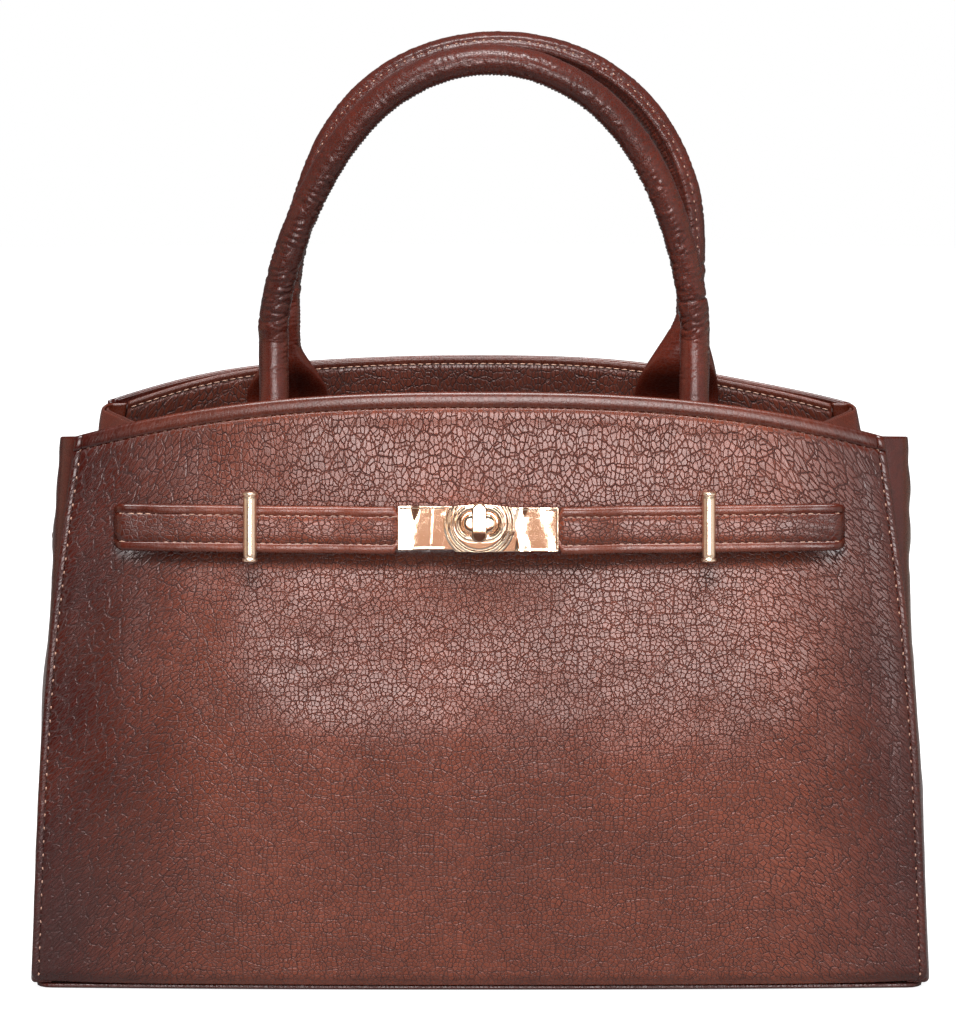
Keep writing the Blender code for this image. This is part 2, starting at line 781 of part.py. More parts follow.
def handle_path(side):
    """Points and outward normals along the middle of a handle, from its left end to its right."""
    path = []
    for i in range(HANDLE_STEPS + 1):
        angle = math.pi * (1 - i / HANDLE_STEPS)
        along = arch_point(side, angle - ARCH_STEP) - arch_point(side, angle + ARCH_STEP)
        normal = Vector((-along.z, 0, along.x)).normalized()
        path.append((arch_point(side, angle), normal))
    return path


def handle_stations(side):
    """The path with its round ends: points, outward normals, and angles from the tip of an end."""
    half_span = handle_span(side)[0]
    left = (Vector((-half_span, 0, 0)), Vector((-1, 0, 0)))
    right = (Vector((half_span, 0, 0)), Vector((1, 0, 0)))
    side_on = math.pi / 2
    polars = (*DOME_ANGLES, side_on)
    stations = [(*left, polar) for polar in polars]
    stations += [(point, normal, side_on) for point, normal in handle_path(side)]
    stations += [(*right, polar) for polar in reversed(polars)]
    return stations


def cover_section(point, normal, polar, seam_side):
    """C-shaped section of the wrapped leather, open by a thin seam toward seam_side along Y."""
    across = Vector((0, seam_side, 0))
    down = Vector((0, 0, -1))
    bore_steps = 9
    bore = (CORE_RADIUS + SEAT) / math.cos(math.pi / bore_steps)
    ring = []
    for radius, steps, outward in ((HANDLE_RADIUS, 11, True), (bore, bore_steps, False)):
        middle = point + radius * math.cos(polar) * down
        reach = radius * math.sin(polar)
        opening = math.asin(COVER_SEAM / 2 / reach)
        for i in range(steps + 1):
            share = i / steps if outward else 1 - i / steps
            angle = mix(opening, 2 * math.pi - opening, share)
            ring.append(middle + reach * (math.cos(angle) * across + math.sin(angle) * normal))
    return ring


def core_section(point, normal, polar, sides=10):
    across = Vector((0, 1, 0))
    middle = point - Vector((0, 0, CORE_RADIUS * math.cos(polar)))
    reach = CORE_RADIUS * math.sin(polar)
    ring = []
    for i in range(sides):
        angle = 2 * math.pi * (i + 0.5) / sides
        ring.append(middle + reach * (math.cos(angle) * normal + math.sin(angle) * across))
    return ring


def make_handle(word, side, lean, cover_finish, core_finish):
    place = (0, side * PIVOT_DEPTH, PIVOT_HEIGHT)
    turn = (-side * lean, 0, 0)
    stations = handle_stations(side)
    cover = loft([cover_section(*station, -side) for station in stations])
    add_object(word + "_handle_cover", cover, cover_finish, place, turn)
    core = loft([core_section(*station) for station in stations])
    add_object(word + "_handle_core", core, core_finish, place, turn)


def tab_ring(side, x, ball, z, half_wide, half_thick, sides=12):
    """Oval ring that lies along the inside of the face, or nearer the handle's bend above the rim."""
    inside = PANEL + SEAT + FACING + SEAT
    rim = rim_height(x)
    ring = []
    for i in range(sides):
        angle = 2 * math.pi * (i + 0.5) / sides
        across = x + half_wide * math.cos(angle)
        seat = face_depth(across, min(z, rim)) - inside - half_thick
        y = mix(seat, PIVOT_DEPTH, clamp((z - rim) / (ball - rim)))
        ring.append(Vector((across, side * y + half_thick * math.sin(angle), z)))
    return ring


def make_tab(name, side, hand, finish):
    """Round below the handle's bend, flattening into a flared tab sewn inside the rim."""
    x = hand * handle_span(side)[0]
    ball = PIVOT_HEIGHT - SEAT - HANDLE_RADIUS * (1 + math.cos(DOME_ANGLES[0]))
    sizes = []
    for polar in (*DOME_ANGLES, math.pi / 2):
        reach = HANDLE_RADIUS * math.sin(polar)
        sizes.append((ball + HANDLE_RADIUS * math.cos(polar), reach, reach))
    for i in range(TAB_STEPS + 1):
        share = i / TAB_STEPS
        z = mix(rim_height(x) + TAB_SHOULDER, TAB_BOTTOM + TAB_FLAT, share)
        sizes.append((z, mix(HANDLE_RADIUS, TAB_HALF_WIDTH, share), mix(HANDLE_RADIUS, TAB / 2, share)))
    sizes.append((TAB_BOTTOM, TAB_HALF_WIDTH, TAB / 2))
    return add_object(name, loft([tab_ring(side, x, ball, *size) for size in sizes]), finish)


# Rings on the gussets, in a frame at the ring's bar with +X pointing away from the bag

def gusset_skin(z):
    """Distance of a gusset's outer skin from the bag's middle, at its widest."""
    return gusset_reach(0.0, z) + GUSSET / 2


def ring_place(hand):
    """The bar stands off by its tab, or further where the gusset swells below it."""
    at_bar = gusset_skin(RING_LEVEL) + SEAT + RING_TAB + RING_CLEARANCE + RING_WIRE
    at_foot = gusset_skin(RING_LEVEL - RING_DROP) + SEAT + RING_WIRE
    return Vector((hand * max(at_bar, at_foot), 0, RING_LEVEL))


def make_ring_tab(name, hand, finish):
    """Leather strip on the gusset, rolled outward at its foot round the ring's bar."""
    place = ring_place(hand)
    inner = RING_WIRE + RING_CLEARANCE
    outer = inner + RING_TAB
    outside = []
    inside = []
    for i in range(RING_TAB_SEAT_STEPS):
        z = mix(RING_TAB_TOP, RING_LEVEL, i / RING_TAB_SEAT_STEPS)
        seat = gusset_skin(z) + SEAT - abs(place.x)
        outside.append((seat, z - RING_LEVEL))
        inside.append((seat + RING_TAB, z - RING_LEVEL))
    outside.append((-outer, 0.0))
    inside.append((-inner, 0.0))
    for i in range(1, RING_TAB_STEPS + 1):
        angle = math.pi + RING_TAB_WRAP * i / RING_TAB_STEPS
        outside.append((outer * math.cos(angle), outer * math.sin(angle)))
        inside.append((inner * math.cos(angle), inner * math.sin(angle)))
    half = RING_TAB_WIDTH / 2
    rings = []
    for (ox, oz), (ix, iz) in zip(outside, inside):
        rings.append([Vector((hand * ox, -half, oz)), Vector((hand * ox, half, oz)),
                      Vector((hand * ix, half, iz)), Vector((hand * ix, -half, iz))])
    return add_object(name, loft(rings), finish, place)


def make_ring(name, hand, finish):
    """D-shaped wire: a straight bar through the tab and a bow that hangs below it."""
    place = ring_place(hand)
    half = RING_WIDTH / 2
    middle = [(end * half * RING_BAR_SHARE, 0.0) for end in (-1, 0, 1)]
    for i in range(1, RING_STEPS):
        angle = math.pi * i / RING_STEPS
        middle.append((half * math.cos(angle), -RING_DROP * math.sin(angle) ** RING_BOW_SHAPE))
    bm = bmesh.new()
    count = len(middle)
    loops = []
    sides = 8
    for k, (y, z) in enumerate(middle):
        before = middle[k - 1]
        after = middle[(k + 1) % count]
        along = Vector((0, after[0] - before[0], after[1] - before[1])).normalized()
        level = Vector((1, 0, 0))
        out = along.cross(level)
        ring = []
        for i in range(sides):
            angle = 2 * math.pi * (i + 0.5) / sides
            offset = RING_WIRE * (math.cos(angle) * level + math.sin(angle) * out)
            ring.append(bm.verts.new(Vector((0, y, z)) + offset))
        loops.append(ring)
    for k in range(count):
        near = loops[k]
        far = loops[(k + 1) % count]
        for i in range(sides):
            j = (i + 1) % sides
            bm.faces.new((near[i], near[j], far[j], far[i]))
    return add_object(name, bm, finish, place)


def build():
    for old in list(bpy.data.objects):
        bpy.data.objects.remove(old)
    leather = material("grained leather", (0.122, 0.042, 0.030), 0.48)
    smooth = material("smooth leather", (0.085, 0.027, 0.020), 0.42)
    fabric = material("lining fabric", (0.060, 0.035, 0.028), 0.85)
    board = material("stiffener board", (0.20, 0.17, 0.14), 0.7)
    rope = material("handle rope", (0.55, 0.48, 0.38), 0.9)
    gold = material("pale gold plate", (0.86, 0.66, 0.46), 0.16, 1.0)
    steel = material("backing steel", (0.55, 0.55, 0.56), 0.4, 1.0)

    front = make_face("front_panel", FRONT, leather)
    cut_front_face(front)
    make_face("back_panel", BACK, leather)
    make_base_panel(smooth)
    make_base_board(board)
    make_face_facing("front_facing", FRONT, leather)
    make_face_facing("back_facing", BACK, leather)
    make_lining(fabric)
    for word, hand in (("left", LEFT), ("right", RIGHT)):
        make_gusset(word + "_gusset", hand, leather)
        make_side_facing(word + "_facing", hand, smooth)
        make_strap(word + "_strap", hand, leather)
        make_plate(word + "_lock_plate", hand, gold)
        make_bar_loop(word + "_bar_loop", hand, gold)
        place, turn = hardware_place(hand * BAR_X, STRAP_LEVEL)
        legs = [(0, end * BAR_LEG_SPACING / 2) for end in (-1, 1)]
        make_backing(word + "_bar_backing", place, turn, BAR_BACKING_WIDTH, BAR_BACKING_HEIGHT, legs, steel)
        make_tab("front_" + word + "_tab", FRONT, hand, smooth)
        make_tab("back_" + word + "_tab", BACK, hand, smooth)
        make_ring_tab(word + "_ring_tab", hand, smooth)
        make_ring(word + "_ring", hand, gold)
    make_lock_base(gold)
    make_turn_knob(gold)
    place, turn = lock_place()
    rivets = [(hand * RIVET_SPACING / 2, 0) for hand in (LEFT, RIGHT)]
    make_backing("lock_backing", place, turn, LOCK_BACKING_WIDTH, LOCK_BACKING_HEIGHT, rivets, steel)
    make_handle("front", FRONT, FRONT_LEAN, smooth, rope)
    make_handle("back", BACK, BACK_LEAN, smooth, rope)


build()
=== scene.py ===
import json
import math

import bmesh
import bpy
import numpy as np
from mathutils import Euler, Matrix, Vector, noise


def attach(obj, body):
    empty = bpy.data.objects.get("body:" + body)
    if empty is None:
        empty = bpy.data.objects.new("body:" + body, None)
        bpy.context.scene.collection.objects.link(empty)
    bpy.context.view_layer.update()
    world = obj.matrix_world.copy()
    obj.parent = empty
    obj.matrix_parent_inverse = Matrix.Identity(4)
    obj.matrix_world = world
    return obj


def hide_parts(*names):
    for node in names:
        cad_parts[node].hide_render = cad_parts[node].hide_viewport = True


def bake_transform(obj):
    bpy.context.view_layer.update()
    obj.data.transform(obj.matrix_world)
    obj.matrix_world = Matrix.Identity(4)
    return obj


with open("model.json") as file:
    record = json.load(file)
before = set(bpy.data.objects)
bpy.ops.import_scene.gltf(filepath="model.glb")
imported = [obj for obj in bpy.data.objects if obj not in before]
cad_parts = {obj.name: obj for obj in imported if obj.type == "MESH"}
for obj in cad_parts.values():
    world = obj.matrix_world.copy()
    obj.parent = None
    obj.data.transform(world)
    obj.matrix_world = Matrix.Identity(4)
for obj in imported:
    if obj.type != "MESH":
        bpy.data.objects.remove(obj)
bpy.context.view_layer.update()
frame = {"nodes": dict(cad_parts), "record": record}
nodes = frame["nodes"]
slotOf = {part["node"]: part["material_slot"] for part in frame["record"]["subparts"]}
front, back, left, right = -1, 1, -1, 1
hands = {"left": left, "right": right}
faceSides = {"front": front, "back": back}
handWord = {left: "left", right: "right"}

# The bag's own outline, in metres, the same as the frame's
bag = {
    "baseWidth": 0.340, "topWidth": 0.302, "baseDepth": 0.140, "topDepth": 0.112,
    "cornerHeight": 0.209, "rimRise": 0.018, "rimPower": 2.5, "leanPower": 1.6,
    "baseBow": 0.003, "topBow": 0.012, "sideBow": 0.0034, "sideBowShape": 1.2,
    "backRimLeft": 0.0018, "backRimRight": 0.0015,
    "panel": 0.0018, "seat": 0.0003,
}


# Small helpers for numbers

def mix(a, b, share):
    return a + (b - a) * share


def clamp(value, low=0.0, high=1.0):
    return np.clip(value, low, high)


def smooth(value, low, high):
    share = clamp((value - low) / (high - low))
    return share * share * (3 - 2 * share)


def hump(value, centre, width):
    return np.exp(-((value - centre) / width) ** 2)


# Soft uneven waves about as long as size, between -1 and 1
def ripples(x, y, size, seed, count=7):
    draw = np.random.default_rng(seed)
    total = 0.0
    for _ in range(count):
        heading, phase, stretch = draw.uniform(0, math.pi), draw.uniform(0, 6.3), draw.uniform(0.7, 1.4)
        run = x * math.cos(heading) + y * math.sin(heading)
        total = total + np.sin(run * 2 * math.pi / (size * stretch) + phase)
    return total / count ** 0.5 / 1.4


def unit(vectors):
    return vectors / np.linalg.norm(vectors, axis=-1, keepdims=True)


# Distances along a line of points from its start, and the points at other distances
def runAlong(line):
    return np.concatenate([[0], np.cumsum(np.linalg.norm(np.diff(line, axis=0), axis=1))])


def pointsAt(line, distances):
    run = runAlong(line)
    return np.stack([np.interp(distances, run, column) for column in line.T], axis=-1)


# Outer surface of the bag

def halfWidth(z):
    height = clamp(z / bag["cornerHeight"])
    bow = bag["sideBow"] * np.sin(math.pi * height ** bag["sideBowShape"])
    return mix(bag["baseWidth"], bag["topWidth"], z / bag["cornerHeight"]) / 2 + bow


def edgeDepth(z):
    share = np.maximum(z, 0.0) / bag["cornerHeight"]
    return mix(bag["baseDepth"], bag["topDepth"], share ** bag["leanPower"]) / 2


def faceDepth(x, z):
    bow = mix(bag["baseBow"], bag["topBow"], z / bag["cornerHeight"])
    return edgeDepth(z) + bow * (1 - (x / halfWidth(z)) ** 2)


def rimHeight(x, side=front):
    share = clamp(np.abs(x) / (bag["topWidth"] / 2))
    rim = bag["cornerHeight"] + bag["rimRise"] * (1 - share ** bag["rimPower"])
    if side == back:
        rim = rim + bag["backRimLeft"] * hump(x, -0.11, 0.04) - bag["backRimRight"] * hump(x, 0.11, 0.035)
    return rim


def facePoints(side, x, z, out):
    return np.stack([x, side * (faceDepth(x, z) + out), z], axis=-1)


# Materials

def hexColour(code):
    channels = [int(code[i:i + 2], 16) / 255 for i in (1, 3, 5)]
    return (*[c / 12.92 if c <= 0.04045 else ((c + 0.055) / 1.055) ** 2.4 for c in channels], 1.0)


# Adds a node. Each input takes a value or another node's output; the settings are the node's own.
def addNode(tree, kind, inputs=None, **settings):
    node = tree.nodes.new(kind)
    for name, value in settings.items():
        setattr(node, name, value)
    for socket, given in (inputs or {}).items():
        if isinstance(given, bpy.types.NodeSocket):
            tree.links.new(given, node.inputs[socket])
        else:
            node.inputs[socket].default_value = given
    return node


def compute(tree, operation, *inputs, **settings):
    made = addNode(tree, "ShaderNodeMath", dict(enumerate(inputs)), operation=operation, **settings)
    return made.outputs[0]


def mapRange(tree, value, low, high, toLow, toHigh, **settings):
    inputs = {"Value": value, "From Min": low, "From Max": high, "To Min": toLow, "To Max": toHigh}
    return addNode(tree, "ShaderNodeMapRange", inputs, **settings).outputs["Result"]


def noiseNode(tree, place, scale, detail, flat=False, rough=0.5):
    return addNode(tree, "ShaderNodeTexNoise", {"Vector": place, "Scale": scale, "Detail": detail,
                                                "Roughness": rough}, noise_dimensions="2D" if flat else "3D")


def blendColours(tree, share, under, over, how="MIX"):
    return addNode(tree, "ShaderNodeMix", {0: share, 6: under, 7: over}, data_type="RGBA",
                   blend_type=how).outputs[2]


def startMaterial(name, **sockets):
    made = bpy.data.materials.new(name)
    made.use_nodes = True
    shader = made.node_tree.nodes["Principled BSDF"]
    for socket, value in sockets.items():
        shader.inputs[socket.replace("_", " ")].default_value = value
    return made, made.node_tree, shader


# Links colour and roughness where they are given, and a bump of the given height in metres
def endMaterial(tree, shader, height, distance, colour=None, roughness=None):
    bump = addNode(tree, "ShaderNodeBump", {"Height": height, "Distance": distance, "Strength": 1.0})
    for source, socket in ((colour, "Base Color"), (roughness, "Roughness"), (bump.outputs[0], "Normal")):
        if source is not None:
            tree.links.new(source, shader.inputs[socket])


def colourRamp(tree, factor, stops):
    ramp = addNode(tree, "ShaderNodeValToRGB", {"Fac": factor})
    while len(ramp.color_ramp.elements) < len(stops):
        ramp.color_ramp.elements.new(0.5)
    for element, (position, code) in zip(ramp.color_ramp.elements, stops):
        element.position = position
        element.color = hexColour(code)
    return ramp.outputs["Color"]


grain = {
    "cell": 0.00168,        # width of one pebble
    "warp": 0.24,           # how far creases wander, in pebbles
    "crease": 0.12,         # width of a crease, in pebbles
    "cracks": 2.7,          # pebbles between the longer, deeper creases
    "crackWidth": 0.045,    # width of those, in their own cells
    "depth": 0.00013,       # height of a pebble over its creases
    "pore": 0.0006,         # size of the fine grain on a pebble
    # the colour that painted shade darkens the hide toward
    "paintedShadeColour": (0.26, 0.08, 0.04, 1.0),
}


# Drum-dyed cowhide, tumbled: flat pebbles with a soft sheen, parted by thin creases that are coloured dark as
# painted shade. Some creases run on over several pebbles. The hide is darkened where its painted-shade
# attribute says so.
def pebbledLeather(name, tone, depthShare=1.0, cellShare=1.0, rough=0.25, gloss=0.5):
    made, tree, shader = startMaterial(name, IOR=1.5, Specular_IOR_Level=gloss)
    scale = (1 / (grain["cell"] * cellShare),) * 3
    place = addNode(tree, "ShaderNodeUVMap", uv_map="grain").outputs["UV"]
    counted = addNode(tree, "ShaderNodeMapping", {"Vector": place, "Scale": scale}).outputs["Vector"]
    wander = noiseNode(tree, counted, 0.45, 3.0, flat=True).outputs["Color"]
    centred = addNode(tree, "ShaderNodeVectorMath", {0: wander, 1: (0.5, 0.5, 0.5)}, operation="SUBTRACT")
    pushed = addNode(tree, "ShaderNodeVectorMath", {0: centred.outputs[0], 1: (2 * grain["warp"],) * 3,
                                                    2: counted}, operation="MULTIPLY_ADD").outputs[0]

    def cells(size, randomness, feature):
        return addNode(tree, "ShaderNodeTexVoronoi", {"Vector": pushed, "Scale": 1 / size,
                       "Randomness": randomness}, feature=feature, voronoi_dimensions="2D").outputs

    edges = cells(1.0, 0.9, "DISTANCE_TO_EDGE")["Distance"]
    cracks = cells(grain["cracks"], 1.0, "DISTANCE_TO_EDGE")["Distance"]
    patchy = noiseNode(tree, counted, 0.22, 3.0, flat=True).outputs["Fac"]
    calm, dusk = [addNode(tree, "ShaderNodeAttribute", attribute_name=label).outputs["Fac"]
                  for label in ("calm", "dusk")]
    lively = compute(tree, "SUBTRACT", 1.0, calm, use_clamp=True)
    strength = compute(tree, "MULTIPLY", lively, mapRange(tree, patchy, 0.36, 0.56, 0.78, 1.0))

    def eased(distance, width, low, high):
        return mapRange(tree, distance, 0.0, width, low, high, interpolation_type="SMOOTHSTEP")

    lines = compute(tree, "MAXIMUM", eased(edges, grain["crease"], 1.0, 0.0),
                    eased(cracks, grain["crackWidth"], 1.0, 0.0))
    creased = compute(tree, "MULTIPLY", lines, strength)
    dome = compute(tree, "ADD", eased(edges, 0.13, 0.0, 1.0), eased(cracks, 0.08, -0.5, 0.0))
    pores = noiseNode(tree, place, 1 / grain["pore"], 2.0, flat=True, rough=0.6).outputs["Fac"]
    height = compute(tree, "MULTIPLY_ADD", pores, 0.08, compute(tree, "MULTIPLY", dome, strength))

    mottled = noiseNode(tree, place, 22.0, 4.0, flat=True).outputs["Fac"]
    body = colourRamp(tree, mottled, tone["body"])
    perCell = addNode(tree, "ShaderNodeSeparateColor", {"Color": cells(1.0, 0.9, "F1")["Color"]}).outputs[0]
    # Painted shade: the body colour is darkened by the shade attribute
    shadedBody = blendColours(tree, dusk, body, grain["paintedShadeColour"], "MULTIPLY")
    tinted = blendColours(tree, 1.0, shadedBody, mapRange(tree, perCell, 0.0, 1.0, 0.86, 1.14), "MULTIPLY")
    # The creases are coloured darker than the pebbles: painted shade in them
    coloured = blendColours(tree, creased, tinted, hexColour(tone["crease"]))
    glossy = mapRange(tree, pores, 0.3, 0.7, rough - 0.05, rough + 0.07)
    endMaterial(tree, shader, height, grain["depth"] * depthShare, coloured,
                compute(tree, "MULTIPLY_ADD", creased, 0.9, glossy))
    return made


# A finish with a fine uneven surface: colour, roughness and height all drift a little
def plainMaterial(name, code, rough, metallic=0.0, grit=0.0008, variation=0.12, bumpDepth=0.00005):
    made, tree, shader = startMaterial(name, Metallic=metallic)
    place = addNode(tree, "ShaderNodeTexCoord").outputs["Object"]
    fine = noiseNode(tree, place, 1 / grit, 3.0).outputs["Fac"]
    low = noiseNode(tree, place, 60.0, 2.0).outputs["Fac"]
    drift = mapRange(tree, low, 0.3, 0.7, 1 - variation, 1 + variation)
    endMaterial(tree, shader, fine, bumpDepth, blendColours(tree, 1.0, hexColour(code), drift, "MULTIPLY"),
                mapRange(tree, fine, 0.3, 0.7, rough * 0.85, rough * 1.15))
    return made


# Zinc die casting, polished and plated pale rose gold: a mirror with slow waves and fine wipe marks
def goldPlate(name="polished pale gold plate", low=0.06, high=0.16):
    made, tree, shader = startMaterial(name, Metallic=1.0, Base_Color=hexColour("#f4d9bf"))
    place = addNode(tree, "ShaderNodeTexCoord").outputs["Object"]
    drawn = addNode(tree, "ShaderNodeMapping", {"Vector": place, "Scale": (1.0, 1.0, 0.35)}).outputs["Vector"]
    waves = noiseNode(tree, drawn, 260.0, 2.0, rough=0.6).outputs["Fac"]
    fine = noiseNode(tree, place, 2200.0, 3.0).outputs["Fac"]
    endMaterial(tree, shader, compute(tree, "MULTIPLY_ADD", fine, 0.05, waves), 0.00011,
                roughness=mapRange(tree, fine, 0.3, 0.7, low, high))
    return made


# Woven cotton, dull: its threads are drawn 0.5 mm apart, coarser than real, so that they show
def wovenLining():
    made, tree, shader = startMaterial("woven lining fabric", Roughness=0.85, Sheen_Weight=0.25)
    place = addNode(tree, "ShaderNodeUVMap", uv_map="grain").outputs["UV"]
    parts = addNode(tree, "ShaderNodeSeparateXYZ", {"Vector": place}).outputs
    threads = [compute(tree, "SINE", compute(tree, "MULTIPLY", parts[axis], 2 * math.pi / 0.0010))
               for axis in ("X", "Y")]
    woven = compute(tree, "MULTIPLY", *threads)
    endMaterial(tree, shader, woven, 0.00008, colourRamp(tree, woven, [(0.0, "#3f2a24"), (1.0, "#5c4238")]))
    return made


# Each tone's crease colour is painted shade for the creases
chestnut = {"body": [(0.3, "#6a301e"), (0.5, "#713421"), (0.7, "#793925")], "crease": "#32120d"}
darkChestnut = {"body": [(0.3, "#4d2218"), (0.5, "#57271b"), (0.7, "#612c1f")], "crease": "#260d09"}
umber = {"body": [(0.3, "#47160b"), (0.5, "#501a0e"), (0.7, "#5c2114")], "crease": "#1b0604"}
leather = pebbledLeather("pebbled cowhide", chestnut)
inside = pebbledLeather("pebbled cowhide of the facings", darkChestnut, depthShare=1.3)
rolled = pebbledLeather("rolled calf leather", umber, depthShare=0.35, cellShare=0.6, rough=0.23, gloss=0.42)
gold = goldPlate()
satinGold = goldPlate("satin pale gold plate", 0.26, 0.36)
# Painted shade: the knob's flank is a darker, duller gold than the rest of the knob
shadedFlankGold = plainMaterial("gold of the knob's flank, darkened as painted shade", "#6e5340", 0.4, metallic=0.6)
lining = wovenLining()
thread = plainMaterial("waxed polyester thread", "#b38a76", 0.45, grit=0.0003)
# Painted shade: dark beads that stand for the shade in the needle holes between stitches
hole = plainMaterial("shaded needle hole", "#2a0f0b", 0.8, grit=0.0003)
board = plainMaterial("pressed fibre board", "#7a6a58", 0.8)
rope = plainMaterial("twisted cotton rope", "#c3b49a", 0.9)
steel = plainMaterial("brushed backing steel", "#a8a8aa", 0.4, metallic=1.0)
print("materials made")


# Mesh builders

def linked(name, data):
    made = bpy.data.objects.new(name, data)
    bpy.context.scene.collection.objects.link(made)
    return made


def newPiece(name, points, faces, finish, grainUv=None, **marks):
    mesh = bpy.data.meshes.new(name)
    mesh.from_pydata([tuple(p) for p in points], [], faces)
    mesh.update()
    if grainUv is not None:
        layer = mesh.uv_layers.new(name="grain")
        corners = np.zeros(len(mesh.loops), dtype=np.int32)
        mesh.loops.foreach_get("vertex_index", corners)
        layer.data.foreach_set("uv", np.asarray(grainUv, dtype=np.float32)[corners].ravel())
    for label, numbers in marks.items():
        values = mesh.attributes.new(label, "FLOAT", "POINT")
        values.data.foreach_set("value", np.asarray(numbers, dtype=np.float32))
    mesh.shade_smooth()
    mesh.materials.append(finish)
    return linked(name, mesh)


def gridFaces(index):
    return np.stack([index[:-1, :-1], index[:-1, 1:], index[1:, 1:], index[1:, :-1]], axis=-1).reshape(-1, 4)


# Share of the half thickness left at a distance from a rounded edge
def edgeRound(distance, half):
    short = clamp(distance / half)
    return np.sqrt(clamp(1 - (1 - short) ** 2))


# Two skins either side of a grid of points, which share the grid's outer line. The sheet is rounded off over
# the given distances from its edges.
def closedSheet(name, middle, half, edges, outward, grainUv, calm, finish, **marks):
    rows, columns = middle.shape[:2]
    thickness = half
    for edge, radius in edges:
        thickness = thickness * edgeRound(edge, radius)
    thickness[0, :] = thickness[-1, :] = 0
    thickness[:, 0] = thickness[:, -1] = 0
    normal = np.cross(np.gradient(middle, axis=1), np.gradient(middle, axis=0))
    normal /= np.linalg.norm(normal, axis=2, keepdims=True) + 1e-12
    facing = np.sum(normal * np.array(outward, dtype=float))
    if facing < 0:
        normal = -normal
    outer = middle + normal * thickness[..., None]
    inner = middle - normal * thickness[..., None]
    nearIndex = np.arange(rows * columns).reshape(rows, columns)
    farIndex = nearIndex.copy()
    within = (rows - 2, columns - 2)
    farIndex[1:-1, 1:-1] = rows * columns + np.arange(within[0] * within[1]).reshape(within)
    faces = []
    for index, flip in ((nearIndex, facing < 0), (farIndex, facing > 0)):
        quads = gridFaces(index)
        faces += (quads[:, ::-1] if flip else quads).tolist()

    def bothSkins(near, far):
        rest = near.shape[2:]
        return np.concatenate([near.reshape(-1, *rest), far[1:-1, 1:-1].reshape(-1, *rest)])

    marks = {label: bothSkins(values, values) for label, values in {"calm": calm, **marks}.items()}
    return newPiece(name, bothSkins(outer, inner), faces, finish, bothSkins(grainUv, grainUv), **marks)


# Positions from 0 to length: close together over the given distances from each end, even between
def tightLines(length, step, near, far=None):
    far = near if far is None else far
    inner = np.linspace(near[-1], length - far[-1], max(2, int((length - near[-1] - far[-1]) / step)))
    return np.concatenate([near[:-1], inner, length - np.array(far[:-1])[::-1]])


def weld(piece, distance=1e-6):
    shape = bmesh.new()
    shape.from_mesh(piece.data)
    bmesh.ops.remove_doubles(shape, verts=shape.verts, dist=distance)
    bmesh.ops.recalc_face_normals(shape, faces=shape.faces)
    shape.to_mesh(piece.data)
    shape.free()
    piece.data.shade_smooth()
    return piece


# Rings of points joined in order; the first and last point of each are one seam. Unless the rings run
# round to the first again, both ends are capped.
def joinedRings(name, rings, finish, grainUv=None, capped=True, **marks):
    index = np.arange(rings.shape[0] * rings.shape[1]).reshape(rings.shape[:2])
    faces = gridFaces(index).tolist()
    if capped:
        faces += [index[0, :-1].tolist(), index[-1, :-1].tolist()]
    return weld(newPiece(name, rings.reshape(-1, 3), faces, finish, grainUv, **marks))


# Rings with both ends capped, and plain grain values where none are given
def closedTube(name, rings, finish, grainUv=None, calm=None):
    flat = np.zeros(rings.shape[:2] + (2,))
    grainUv = flat if grainUv is None else grainUv
    calm = flat[..., 0] if calm is None else calm
    return joinedRings(name, rings, finish, grainUv.reshape(-1, 2), calm=calm.reshape(-1))


# Grain that is drawn long toward the sides and below the rim, as on stretched hide

stretch = {"sideStart": 0.100, "sideShare": 0.58, "sideShear": 0.95, "rimStart": 0.186, "rimShare": 0.55}


def faceGrain(x, z):
    past = np.maximum(np.abs(x) - stretch["sideStart"], 0.0)
    eased = past * past / (past + 0.02)
    across = x - np.sign(x) * eased * stretch["sideShare"]
    above = np.maximum(z - stretch["rimStart"], 0.0)
    up = z - above * above / (above + 0.01) * (1 - stretch["rimShare"]) + eased * stretch["sideShear"]
    return np.stack([across, up], axis=-1)


# Front and back faces: one sagging sheet each, turned over at the rim and sewn down its sides

face = {
    "step": 0.0016, "rimBand": 0.0052, "rimBead": 0.0007, "rimGroove": 0.00050,
    "seam": 0.0029, "seamGroove": 0.00040, "cornerRadius": 0.0032, "bottomCurl": 0.0014,
    "belly": 0.0046, "bellyHeight": 0.092, "bellySpread": 0.055, "heldLevel": 0.1769, "heldSpread": 0.016,
    "press": 0.0022, "pressTall": 0.0068,
    "dent": 0.0008, "dentX": -0.040, "dentZ": 0.127, "dentWide": 0.030, "dentTall": 0.018,
    "dentRim": 0.0002, "dentCreases": 0.00010,
    "soft": 0.0003, "softSize": 0.075, "softer": 0.00010, "softerSize": 0.026,
    # the next three set painted shade: how dark each side gets and how far in it reaches, and how dark the
    # rim band is
    "edgeShade": {left: 0.97, right: 0.85}, "sideShadeReach": {left: 0.085, right: 0.055}, "rimShade": 0.55,
}
edgeSteps = np.array([0, 0.00013, 0.00045, 0.0009, 0.0014, 0.0019, 0.0023, 0.0027, 0.0031, 0.0035,
                      0.0040, 0.0047, 0.0056, 0.0068, 0.0082])
rimSteps = np.array([0, 0.00013, 0.00045, 0.0010, 0.0017, 0.0025, 0.0033, 0.0041, 0.0047, 0.0051,
                     0.0055, 0.0059, 0.0065, 0.0075, 0.0090])
